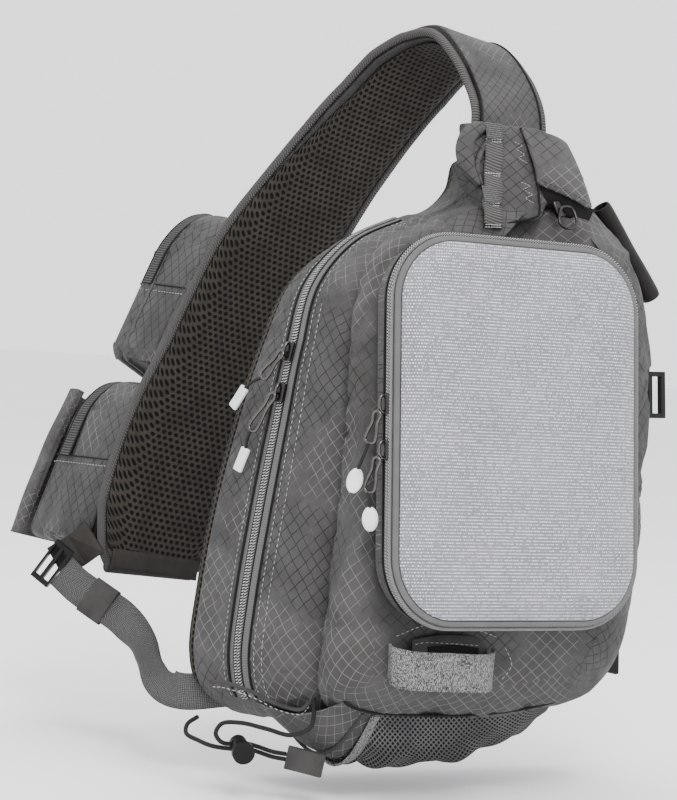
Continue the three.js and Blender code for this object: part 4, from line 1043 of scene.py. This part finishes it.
def makeFlap():
    top = [(46, neckY(424, 3), 425), (60, -10, 423.5), (74, -10.5, 421), (84, -9, 417), (93, 2, 411)]
    low = [(53, neckY(387, 4), 386), (64, -28, 382), (76, -33, 377.5), (88, -34, 372.5), (99, -23, 374)]
    columns = np.linspace(0, 1, 40)
    upper, lower = curveAt(top, columns), curveAt(low, columns)
    rows = np.linspace(0, 1, 24)
    sheet = np.stack([mix(upper, lower, row) + vec(0, -3.5, 0.5) * math.sin(math.pi * row) for row in rows])
    grid = np.concatenate([sheet, sheet[::-1] + vec(0, 2.2, -0.4)])
    flap = makeShell("flap_cloth", np.transpose(grid, (1, 0, 2)), "ripstop", planar=True)
    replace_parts(flap, "neck_flap")
    declareSheet(flap, lengthAlong(mix(upper, lower, 0.5))[-1], lengthAlong(sheet[:, 20])[-1], "hung",
                 "neck_cloth")
    hem = mix(upper, lower, 0.93) + vec(0, -2.2, 0)
    makeStitches("flap_stitches", hem, radius=0.25, look="piping")
    gap = [((54, -19.5, 384), (0.3, -0.3, 1)), ((66, -24.5, 376), (0.3, -0.3, 1)),
           ((80, -29, 370), (0.3, -0.3, 1)), ((93, -30, 366), (0.3, -0.3, 1))]
    makeBand("top_zip_tape", gap, 13, 1.2, "piping")
    slider = outwardFacing(makeSlab("top_slider_body", vec(65.5, -31.5, 369.5), vec(0.35, -0.35, -1),
                                    vec(0.3, -1, 0.3), (12, 8, 4), "gunmetal", rounding=1.4))
    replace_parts(slider, "top_slider")
    ring = [(66.5, -35, 371), (74.6, -34, 371), (76.5, -39, 361), (71, -42, 357), (64, -42, 357),
            (61.5, -40, 361)]
    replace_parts(makeTube("top_ring", ring, 1.0, "gunmetal", closed=True, sides=12, count=60), "top_pull")


# A small block with rounded edges, from its middle, its run and the way it faces
def makeSlab(name, middle, along, face, sizes, look, rounding=0.6):
    x = unit(along)
    z = unit(np.cross(x, face))
    y = np.cross(z, x)
    length, depth, width = sizes[0], sizes[2], sizes[1]
    made = bmesh.new()
    bmesh.ops.create_cube(made, size=1)
    for vert in made.verts:
        vert.co = (vert.co.x * length, vert.co.y * depth, vert.co.z * width)
    bmesh.ops.bevel(made, geom=list(made.edges), offset=min(rounding, 0.45 * min(sizes)), segments=3,
                    profile=0.5, affect="EDGES")
    points = np.array([middle + x * v.co.x + y * v.co.y + z * v.co.z for v in made.verts])
    made.verts.index_update()
    faces = [[v.index for v in polygon.verts] for polygon in made.faces]
    local = [v.co.copy() for v in made.verts]
    uv = [(local[i].z, local[i].x) for corner in faces for i in corner]
    made.free()
    return makeObject(name, points, faces, look, uv)


rodSleeve = dict(radius=6.8, wall=1.4, length=80, tilt=39, across=0.685, up=0.8765)


def makeSleeve():
    top = vec(bodyX(rodSleeve["across"]) + 1, 6, bodyZ(rodSleeve["up"]) + 1)
    tilt = rad(rodSleeve["tilt"])
    run = vec(math.sin(tilt), 0, -math.cos(tilt))
    length, radius, wall = rodSleeve["length"], rodSleeve["radius"], rodSleeve["wall"]
    side, other = vec(0, 1, 0), vec(math.cos(tilt), 0, math.sin(tilt))
    angles = np.linspace(0, 2 * np.pi, 48, endpoint=False)
    profile = [(0.6, radius - wall), (0, radius - wall / 2), (0.6, radius), (20, radius + 0.5),
               (40, radius + 0.2), (60, radius + 0.6), (length - 0.6, radius), (length, radius - wall / 2),
               (length - 0.6, radius - wall), (40, radius - wall)]
    line = curveAt([(a, r, 0) for a, r in profile], np.linspace(0, 1, 80, endpoint=False), True)
    grid = np.stack([top + run * a + (np.cos(angles)[:, None] * side + np.sin(angles)[:, None] * other) * r
                     for a, r, _ in line])
    grid = np.concatenate([grid, grid[:1]])
    obj = outwardFacing(makeGrid("sleeve_cloth", grid, "satin", around=True), joined=True)
    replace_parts(obj, "rod_sleeve")
    declareSheet(obj, 2 * math.pi * radius, length, "folded", "main_cloth")


makeNeck()
makeDaisy()
makeFlap()
makeSleeve()
done("neck")


# The side zip: piping, tapes and a two-row coil that follow the gusset
def makeSideZip():
    t = np.linspace(3, 11, 260) / rowCount
    depth = np.linalg.norm(gussetPoint(t, 1) - gussetPoint(t, 0), axis=1)

    def line(offset, lift):
        return gussetPoint(t, zipShare + offset / depth, lift)

    edge = [(-7.6, 0.2), (-7.6, 1.2), (-4, 1.5), (0, 1.5), (4, 1.5), (7.6, 1.2), (7.6, 0.2)]
    grid = np.stack([line(a, b) for a, b in edge], axis=1)
    tapes = makeShell("side_zip_tape", grid, "tape")
    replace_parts(tapes, "side_zip")
    for name, offset, lift, radius, look in (
        ("coil_back", -1.15, 1.9, 1.1, "coil"), ("coil_front", 1.15, 1.9, 1.1, "coil"),
        ("seam_back", -3.0, 1.4, 0.55, "piping"), ("seam_front", 3.0, 1.4, 0.55, "piping"),
        ("piping_back", -8.0, 1.0, 1.1, "piping"), ("piping_front", 8.0, 0.6, 0.8, "piping"),
    ):
        makeTube(f"side_zip_{name}", line(offset, lift), radius, look, even=False, sides=10)
    for name, offset in (("back", -13), ("front", 11.5), ("far", 17.5)):
        makeStitches(f"side_stitches_{name}", line(offset, 0.4), radius=0.26, stitch=2.2, space=1.6)


# A slider's body with its bridge, a wire pull, a cord and a tag
def makeSlider(name, at, along, outward, node):
    along, outward = unit(along), unit(outward)
    slab = outwardFacing(makeSlab(f"{name}_body", at + outward * 1.5, along, outward, (13, 8.5, 2.6),
                                  "gunmetal", rounding=1))
    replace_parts(slab, node)
    bridge = ((5.5, 2), (4.5, 4.4), (0, 5.6), (-4.5, 4.4), (-5.5, 2))
    arch = [at + along * s + outward * h for s, h in bridge]
    makeTube(f"{name}_bridge", arch, 1.0, "nickel", sides=10, count=24)


def makePull(name, start, end, flat, node, width=8.5, wire=1.1, look="nickel"):
    along = unit(np.asarray(end) - start)
    side = unit(np.cross(along, flat))
    length = np.linalg.norm(np.asarray(end) - start)
    outline = [(0, 0), (0.06, 0.55), (0.35, 0.42), (0.7, 0.8), (0.93, 0.8), (1, 0), (0.93, -0.8),
               (0.7, -0.8), (0.35, -0.42), (0.06, -0.55)]
    ring = [start + along * length * a + side * width / 2 * b for a, b in outline]
    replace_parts(makeTube(name, ring, wire, look, closed=True, sides=12, count=80), node)


def makeTag(name, start, top, end, flat, node, look="rubber", width=7.5):
    along = unit(np.asarray(end) - top)
    middle = (np.asarray(top) + end) / 2
    length = np.linalg.norm(np.asarray(end) - top)
    slab = outwardFacing(makeSlab(name, middle, along, flat, (length, width, 3), look, rounding=1.1))
    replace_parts(slab, node)
    bow = mix(np.asarray(start), np.asarray(top), 0.5) + unit(flat) * 1.2
    makeTube(f"{name}_cord", [start, bow, top + along * 1.5], 1.1, "braid", sides=10, count=20)


def makeSidePulls():
    rows = [
        dict(name="upper", row=7.9, back=11, down=20, lift=3, cordBack=14, cordDown=8, tagBack=8,
             tagDown=15),
        dict(name="lower", row=7.4, back=14, down=27, lift=0.5, cordBack=1, cordDown=12, tagBack=4,
             tagDown=16),
    ]
    for row in rows:
        t = row["row"] / rowCount
        here = gussetPoint(t, zipShare)
        along = unit(gussetPoint(t + 0.01, zipShare) - gussetPoint(t - 0.01, zipShare))
        backward = unit(gussetPoint(t, zipShare - 0.1) - gussetPoint(t, zipShare + 0.1))
        outward = unit(np.cross(along, backward))
        seat = here + outward * 3.1
        name = row["name"]
        makeSlider(f"side_slider_{name}", seat, along, outward, f"side_slider_{name}")
        top = seat + backward - along + outward * 5.4
        bottom = top + backward * row["back"] - along * row["down"] + outward * row["lift"]
        makePull(f"side_wire_{name}", top, bottom, outward, f"side_pull_{name}")
        tagTop = bottom + backward * row["cordBack"] - along * row["cordDown"]
        tagEnd = tagTop + backward * row["tagBack"] - along * row["tagDown"]
        makeTag(f"side_tag_{name}_piece", bottom, tagTop, tagEnd, outward, f"side_tag_{name}")


def makeCasePulls():
    rows = [
        dict(name="upper", up=0.06, drop=20, cordOut=6, cordDown=16, beadOut=4, beadDown=16),
        dict(name="lower", up=-0.055, drop=22, cordOut=-1, cordDown=9, beadOut=-1, beadDown=16),
    ]
    outward = fromCase(vec(-1, 0, 0)) - fromCase(vec(0, 0, 0))
    for row in rows:
        name = row["name"]
        seat = vec(-case["width"] / 2 - 0.3, (bandBack + bandFront) / 2, row["up"] * case["height"])
        along = fromCase(vec(0, 0, 1)) - fromCase(vec(0, 0, 0))
        makeSlider(f"case_slider_{name}", fromCase(seat), along, outward, f"case_slider_{name}")
        top = seat + vec(-6.6, 0, -5)
        bottom = top + vec(-3, 6, -row["drop"])
        flat = unit(outward + vec(0, -0.6, 0))
        makePull(f"case_wire_{name}", fromCase(top), fromCase(bottom), flat, f"case_pull_{name}")
        beadTop = bottom + vec(-row["cordOut"], row["cordOut"] / 2, -row["cordDown"])
        beadEnd = beadTop + vec(-row["beadOut"], 1, -row["beadDown"])
        makeBead(f"case_bead_{name}_piece", fromCase(bottom), fromCase(beadTop), fromCase(beadEnd),
                 f"case_bead_{name}")


# An oval bead whose two faces are flattened, on its short cord
def makeBead(name, start, top, end, node):
    along = unit(end - top)
    towards = unit(vec(-0.47, -0.88, 0))
    side = unit(np.cross(along, towards))
    face = np.cross(side, along)
    length = np.linalg.norm(end - top)
    levels = np.linspace(0.02, 0.98, 18)
    angles = np.linspace(0, 2 * np.pi, 28, endpoint=False)
    rings = []
    for level in levels:
        wide = 5.2 * math.sin(math.pi * level) ** 0.45
        rings.append(top + along * length * level + side * wide * np.cos(angles)[:, None]
                     + face * wide * 0.5 * np.sin(angles)[:, None])
    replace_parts(makeShell(name, np.stack(rings), "rubber"), node)
    bow = mix(start, top, 0.5) + towards * 1.5
    makeTube(f"{name}_cord", [start, bow, top + along * 1.5], 1.1, "braid", sides=10, count=20)


makeSideZip()
makeSidePulls()
makeCasePulls()
done("zips")


# Strap pockets: a deep pouch with a domed top, a seam across it and a zip round its outer edge
strapPockets = [
    dict(name="upper", start=0.565, end=0.722, left=-0.44, right=0.3, seat=2.2, flare=0.02),
    dict(name="lower", start=0.742, end=0.938, left=-0.46, right=0.3, seat=1.2, flare=0.28),
]
pocketDepth, pocketCorner, zipDeep = 65, 30, 0.74


def flareAt(pocket, t):
    return 1 + pocket["flare"] * (t - pocket["start"]) / (pocket["end"] - pocket["start"])


def pocketDeep(pocket, t, deep):
    root = strap["pad"] / 2
    return -(root + (deep - root) * flareAt(pocket, t))


def patchRing(pocket, deep, inset, steps=14):
    start, end = pocket["start"], pocket["end"]
    left, right = pocket["left"] * strap["width"], pocket["right"] * strap["width"]
    half = (right - left) / 2 - inset
    middle = (left + right) / 2
    insetT = inset / strapLength
    cornerT = pocketCorner / strapLength
    corner = min(pocketCorner, half * 0.8)
    places, across = [], []
    for sa, low, turn in ((1, True, 0), (-1, True, 0.5), (-1, False, 1), (1, False, 1.5)):
        shrink = 0.35 if low else 1
        for i in range(steps + 1):
            angle = (turn + 0.5 * i / steps) * math.pi
            across.append(middle + sa * (half - corner * shrink) + corner * shrink * math.cos(angle))
            edge = end - insetT - cornerT * shrink if low else start + insetT + cornerT * shrink
            places.append(edge + cornerT * shrink * math.sin(angle))
    places = np.array(places)
    return strapPoint(places, np.array(across), pocketDeep(pocket, places, deep))


pocketProfile = [(0, 8), (0, 0.5), (6, -0.8), (20, -1.4), (34, -1.2), (43, -0.4), (46, 0.8), (49, -0.2),
                 (55, 0.4), (60, 2.6), (63.5, 7), (65, 13), (65.5, 24)]


# A line on a pocket's left wall, round its domed top and across it: t runs from the foot to the top
def pocketLine(pocket, t, deep, lift):
    left = pocket["left"] * strap["width"]
    fall = np.clip((t - pocket["start"]) * strapLength, 0, pocketCorner)
    across = left + pocketCorner - np.sqrt(np.maximum(0, pocketCorner**2 - (pocketCorner - fall) ** 2))
    nearTop = 1 - fall / pocketCorner
    seat = strap["pad"] / 2 + pocket["seat"]
    lift = lift - np.maximum(0, np.interp(deep - seat, *zip(*pocketProfile[3:])))
    return strapPoint(t - nearTop * lift / strapLength, across - lift * (1 - nearTop),
                      pocketDeep(pocket, t, deep))


def makePockets():
    back = strap["pad"] / 2
    for pocket in strapPockets:
        name = pocket["name"]
        seat = back + pocket["seat"]
        line = curveAt([(seat + deep, inset, 0) for deep, inset in pocketProfile], np.linspace(0, 1, 90))
        grid = np.stack([patchRing(pocket, deep, inset) for deep, inset, _ in line])
        pouch = makeShell(f"pocket_{name}_cloth", grid, "ripstop")
        columns = grid.shape[1]
        held = np.abs(line[:, 0] - seat - pocketDepth * zipDeep) < 9
        held[:4] = True
        settle(pouch, gridRows(columns, np.flatnonzero(held)), cap=2.5, grow=0.04)
        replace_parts(pouch, f"strap_pocket_{name}")
        seamT = mix(pocket["start"], pocket["end"], 0.47)
        fall = np.sin(np.linspace(0, np.pi / 2, 40)) ** 2
        run = np.concatenate([np.linspace(seamT, pocket["start"] + 0.05, 40),
                              pocket["start"] + 0.05 * (1 - fall[1:])])
        middle = seat + pocketDepth * zipDeep
        edges = [(-5, 0.2), (-5, 1.6), (-2.5, 2.2), (0, 1.5), (2.5, 2.2), (5, 1.6), (5, 0.2)]
        strip = np.stack([pocketLine(pocket, run, middle + a, b) for a, b in edges], axis=1)
        zipStrip = makeShell(f"pocket_{name}_zip", strip, "ribs")
        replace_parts(zipStrip, f"strap_zip_{name}")
        for side, offset in (("A", -5.8), ("B", 5.8)):
            edge = pocketLine(pocket, run, middle + offset, 1.2)
            makeTube(f"pocket_{name}_piping{side}", edge, 0.8, "piping", even=False, sides=8)
        deeps = np.linspace(seat + 2, seat + pocketDepth - 2, 40)
        for offset, look, lift in ((0, "piping", 0.3), (4.5, "thread", 0.4)):
            row = pocketLine(pocket, np.full(40, seamT + offset / strapLength), deeps, lift)
            if look == "piping":
                makeTube(f"pocket_{name}_seam", row, 0.5, look, even=False, sides=8)
            else:
                makeStitches(f"pocket_{name}_stitches", row, radius=0.28, stitch=2, space=1.4)


# The flat sleeve on the lower pocket, open at its top
def makeSleevePocket():
    pocket = strapPockets[1]
    left, right = pocket["left"] * strap["width"], 0.1 * strap["width"]
    t = np.linspace(pocket["start"] + 0.022, pocket["end"] - 0.004, 70)
    outside = [(left + 3, 0.6), (left - 0.6, 1.5), (left - 1, 8), (left + 0.5, 14), (left + 5, 16.6),
               (left + 24, 17.5), (right - 4, 16.4), (right, 13), (right, 0.6)]
    inside = [(a + (1.8 if a < 0 else -1.8), b - (1.8 if b > 6 else 0)) for a, b in outside[::-1]]
    section = outside + inside
    out = strap["pad"] / 2 + (pocket["seat"] + pocketDepth) * flareAt(pocket, t)
    wave = 1.2 * np.sin(np.linspace(0, 5 * np.pi, len(t)))
    rows = np.linspace(0, 1, 90)
    ring = curveAt([(a, b, 0) for a, b in section], rows, True)
    grid = np.stack([strapPoint(t, a + wave * (0.6 if b > 3 else 0),
                                -(out + b + wave * (0.5 if b > 12 else 0)))
                     for a, b, _ in ring], axis=1)
    sleeve = makeShell("strap_sleeve_cloth", grid, "ripstop")
    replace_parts(sleeve, "strap_sleeve")
    across = lengthAlong(np.array([(a, b, 0) for a, b in outside]))[-1]
    declareSheet(sleeve, across, (t[-1] - t[0]) * strapLength, "gathered", "pocket_lower_cloth")


makeSleevePocket()
makePockets()
done("pockets")


# The bottom: a pouch between the front's lower edge and the gusset's underside, netted and then cloth
pouch = dict(hang=31, rows=(-1.3, -1.1, -0.8, -0.4, 0, 0.6, 1.2, 1.6, 2.3, 2.9),
             dips=(0.2, 0.35, 0.6, 0.8, 1, 1.05, 1, 0.9, 0.62, 0.3))


def pouchPoint(row, share, lift=0.0):
    row, share = np.broadcast_arrays(np.asarray(row, float), np.asarray(share, float))
    front = frontPoint(row / rowCount, 0.8, 0.8)
    behind = gussetPoint(row / rowCount, 0.5, 1.2)
    dip = np.interp(row, pouch["rows"], pouch["dips"]) * pouch["hang"]
    point = mix(front, behind, share[..., None])
    point[..., 2] -= (dip + lift) * np.sin(share * np.pi)
    point[..., 1] -= 3 * np.sin(share * np.pi) ** 2 * (1 - share)
    return point


def pouchSheet(name, rows, shares, look, thick=1.6, folds=0.0):
    row, share = np.meshgrid(rows, shares, indexing="ij")
    crease = np.sin(row * 7.3 + share * 5) + 0.8 * np.sin(row * 12.7 - share * 9 + 1)
    crease += 0.6 * np.sin(share * 21 + row * 3)
    lift = folds * crease * np.sin(np.clip(share, 0, 1) * np.pi)
    outer = pouchPoint(row, share, lift)
    inner = pouchPoint(row, share, lift - thick)
    grid = np.concatenate([outer, inner[:, ::-1]], axis=1)
    wide = np.mean([lengthAlong(line)[-1] for line in outer])
    long = np.mean([lengthAlong(outer[:, c])[-1] for c in range(outer.shape[1])])
    return declareSheet(makeShell(name, grid, look), wide, long, "gathered",
                        "front_cloth", "main_cloth")


def makeBottom():
    shares = np.linspace(0.0, 1.0, 70)
    net = pouchSheet("net_cloth", np.linspace(-1.3, 1.6, 110), shares, "net", folds=1.5)
    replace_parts(net, "net_pocket")
    lip = pouchSheet("pocket_lip_cloth", np.linspace(1.62, 2.9, 50), shares, "ripstop", folds=0.5)
    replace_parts(lip, "pocket_lip")
    rim = pouchPoint(np.linspace(-1.3, 2.9, 160), np.zeros(160)) + vec(0, -1.2, -0.5)
    makeTube("net_binding", rim, 0.9, "piping", even=False, sides=10)
    share = np.linspace(0.02, 0.9, 60)
    face = [(place, (0.8, 0.3, 0.1)) for place in pouchPoint(np.full(60, 1.5), share, 2.2)]
    makeBand("mouth_binding", face[::4], 10, 1.8, "heather", count=70)
    edge = pouchPoint(np.full(60, 1.95), share, 2)
    makeTube("mouth_piping", edge, 1.2, "edging", even=False, sides=10)
    hem = [(-104, -38, 33), (-113, -43, 29), (-128, -40, 32), (-143, -33, 39), (-157, -20, 43),
           (-163, -9, 42)]
    makeTube("corner_hem", hem, 1.3, "edging", sides=10, count=70)
    makeStitches("corner_stitches", evenly(np.array(hem, float) + vec(-1, -1.5, -3), 90), radius=0.28)


# The grab webbing across the front and the patch behind it
def makeLoop():
    rows = [(-0.53, 0.139, 1.6), (-0.535, 0.134, 10), (-0.5, 0.131, 16), (-0.4, 0.128, 18.5),
            (-0.3, 0.127, 19.5), (-0.2, 0.125, 19), (-0.12, 0.124, 17), (-0.07, 0.125, 10),
            (-0.05, 0.128, 1.6)]
    stations = []
    for x, z, out in rows:
        lean = 0.1 * math.sin((x + 0.3) * 7)
        stations.append((vec(bodyX(x), faceY(bodyZ(z)) - out, bodyZ(z)), (lean, 0.12, 1)))
    loop = makeBand("loop_webbing", stations, 25, 2, "heather", count=90)
    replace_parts(loop, "front_loop")
    declareSheet(loop, 25, bandLength(stations), "stretched", "front_cloth")
    low, high = bodyZ(0.108), bodyZ(0.172)
    corners = [(-0.43, high), (-0.26, high + 3), (-0.1, high - 1), (-0.07, high - 14), (-0.12, low),
               (-0.4, low)]
    outline = evenly(np.array([(bodyX(x), 0, z) for x, z in corners + corners[:1]], float), 60)[:-1]
    middle = outline.mean(axis=0)
    rings = []
    for scale, lift in ((1, 0.6), (1, 1.8), (0.985, 2.4), (0.5, 2.8), (0.1, 2.8)):
        ring = middle + (outline - middle) * scale
        ring[:, 1] = faceY(ring[:, 2]) - lift
        rings.append(ring)
    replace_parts(makeShell("patch_cloth", np.stack(rings), "plain"), "front_patch")
    # Painted shade: a near-black strip on the patch, behind the loop's upper edge, for the shaded gap
    # inside the loop
    gapShadePlaces = ((-0.36, high - 7), (-0.24, high - 6), (-0.12, high - 8))
    mouth = [(vec(bodyX(x), faceY(z) - 3.4, z), (0, 0.2, 1)) for x, z in gapShadePlaces]
    makeBand("loop_gap_shade", mouth, 5, 0.8, "dark", count=30)
    arcs = (((-0.5, high + 2), (-0.36, high + 9), (-0.18, high + 8), (-0.02, high + 1)),
            ((0.02, high - 6), (0.06, high - 18), (0.02, high - 30)),
            ((-0.42, high - 3), (-0.38, high - 2), (-0.12, high - 4)))
    for index, arc in enumerate(arcs):
        line = evenly(np.array([(bodyX(x), faceY(z) - 1, z) for x, z in arc], float), 60)
        line[:, 1] = faceY(line[:, 2]) - (0.8 if index < 2 else 3)
        makeStitches(f"loop_stitches_{index}", line, radius=0.26)


makeBottom()
makeLoop()
done("bottom")


# The sling webbing and what it threads
slingRoot = gussetPoint(3.1 / rowCount, 0.16, 3.3)
slingStations = [
    (slingRoot + vec(18, 10, 0), (-0.45, 0.3, 0.85)),
    (slingRoot + vec(-8, 23, -4), (-0.2, 0.35, 0.9)),
    (vec(-155, 82, 24), (0.3, 0.75, 0.55)),
    (vec(-156, 106, 35), (0.45, 0.8, 0.3)),
    (vec(-157, 127, 49), (0.4, 0.65, 0.55)),
    (vec(-165, 145, 62), (0.3, 0.25, 0.92)),
    (vec(-178, 156, 71), (0.25, 0.05, 0.95)),
    (vec(-190, 166, 80), (0.2, 0, 0.97)),
    (vec(-200, 175, 90), (0.1, 0, 1)),
]


def makeSling():
    band = makeBand("sling_band", slingStations, 25, 1.7, "webbing", count=120)
    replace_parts(band, "sling_webbing")
    declareSheet(band, 25, bandLength(slingStations), "hung", "ladder_lock")
    places = np.array([station[0] for station in slingStations])
    sides = np.array([station[1] for station in slingStations])
    along = unit(places[7] - places[5])
    normal = unit(np.cross(along, sides[6]))
    fold = []
    for offset, lift in ((-17, 2.6), (-19.5, 3.6), (-17, 4.8), (0, 5.0), (14, 5.4), (21, 4.6)):
        fold.append((places[6] + along * offset + normal * lift, sides[6]))
    folded = makeBand("sling_fold", fold, 25, 1.7, "webbing", count=60)
    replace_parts(folded, "webbing_loop")
    declareSheet(folded, 25, bandLength(fold), "folded", "sling_band")
    angles = np.linspace(0, 2 * np.pi, 40, endpoint=False)
    across = unit(np.cross(normal, along))
    ring = [places[6] + normal * 2.4 + across * 14 * np.sign(math.cos(a)) * abs(math.cos(a)) ** 0.3
            + normal * 5.2 * np.sign(math.sin(a)) * abs(math.sin(a)) ** 0.5 for a in angles]
    ring = np.array(ring)
    inner = (ring - ring.mean(axis=0)) * 0.93 + ring.mean(axis=0)
    grid = np.stack([ring - along * 9.5, ring - along * 9, ring + along * 9, ring + along * 9.5,
                     inner + along * 9.4, inner - along * 9.4, ring - along * 9.5])
    keeper = outwardFacing(makeGrid("keeper_cloth", grid, "edging", around=True), joined=True)
    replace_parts(keeper, "keeper")
    declareSheet(keeper, 19, lengthAlong(ring)[-1], "folded", "sling_band")


makeSling()
done("sling")


# Hard pieces keep the frame's own shape with softened edges
def finishNode(node, look, width=0.4):
    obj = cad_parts[node]
    obj.data.materials.clear()
    obj.data.materials.append(looks[look])
    bevel = obj.modifiers.new("edges", "BEVEL")
    bevel.width = width * millimetre
    bevel.segments = 2
    bevel.limit_method = "ANGLE"
    bevel.angle_limit = rad(35)
    if look in ("lining", "heather", "dark"):
        obj.data.polygons.foreach_set("use_smooth", [True] * len(obj.data.polygons))


for node, look, width in (("ladder_lock", "plastic", 0.8), ("side_buckle_upper", "plastic", 0.8),
                          ("lock_barrel", "plastic", 0.6), ("lock_button", "plastic", 1.2),
                          ("cord_end", "edging", 0.8), ("strap_tab", "lining", 0.9),
                          ("side_tab_upper", "heather", 0.4), ("side_tab_lower", "dark", 0.4)):
    finishNode(node, look, width)


# The shock cord's two strands run through the lock to the end tab
cordRuns = [
    dict(name="cord_a", nodes=("cord_long", "tail_long"), points=[
        (-99.5, -35, 34), (-103, -43, 26), (-109, -50, 18), (-120, -46, 13), (-132, -34, 15),
        (-143, -17, 16), (-151, -5, 13), (-155, -6, 7), (-152, -9, 2), (-144, -10, 0.6), (-134, -10, 0.6),
        (-127, -13, -1), (-120, -20, -3), (-113, -27, -3.5)]),
    dict(name="cord_b", nodes=("cord_short", "tail_short"), points=[
        (-154, 26, 12), (-163, 22, 8), (-166, 16, 3), (-161, 7, 0), (-155, -2, -2), (-144, -10, -2.6),
        (-134, -10, -2.6), (-127, -13, -4.4), (-120, -20, -6.4), (-113, -27, -7)]),
]


def makeCords():
    for run in cordRuns:
        line = evenly(run["points"], 160)
        obj = makeTube(run["name"], line, 1.5, "braid", even=False, sides=14)
        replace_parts(obj, *run["nodes"])
        path = [tuple(point) for point in toRow(line)]


makeCords()
done("cords")


# The light and the floor
def makeLight(name, at, size, power, towards, colour=(1, 1, 1)):
    data = bpy.data.lights.new(name, "AREA")
    data.shape = "DISK"
    data.size = size
    data.energy = power
    data.color = colour
    lamp = bpy.data.objects.new(name, data)
    bpy.context.scene.collection.objects.link(lamp)
    lamp.location = at
    lamp.rotation_euler = (Vector(towards) - Vector(at)).to_track_quat("-Z", "Y").to_euler()


def makeStage():
    floorZ = cadBox[0][2] - 0.02
    mesh = bpy.data.meshes.new("floor")
    reach = 12
    corners = [(x * reach, y * reach, floorZ) for x, y in ((-1, -1), (1, -1), (1, 1), (-1, 1))]
    mesh.from_pydata(corners, [], [(0, 1, 2, 3)])
    finish = Finish("paper", roughness=0.9)
    finish.lay("Base Color", finish.noise(400, 2).band(0.3, 0.7).blend(grey(0.9), grey(0.92)))
    mesh.materials.append(finish.material)
    floor = bpy.data.objects.new("floor", mesh)
    bpy.context.scene.collection.objects.link(floor)
    world = bpy.data.worlds.new("studio")
    world.use_nodes = True
    world.node_tree.nodes["Background"].inputs[0].default_value = (0.97, 0.98, 1, 1)
    world.node_tree.nodes["Background"].inputs[1].default_value = 1.9
    bpy.context.scene.world = world
    middle = (-0.05, -0.05, -0.25)
    makeLight("key", (-0.7, -1.7, 1.4), 0.9, 46, middle, (1, 0.98, 0.96))
    makeLight("fill", (1.6, -1.5, 0.2), 1.6, 10, middle, (0.96, 0.98, 1))
    makeLight("top", (0, 0.3, 1.6), 1.4, 20, middle)


makeStage()
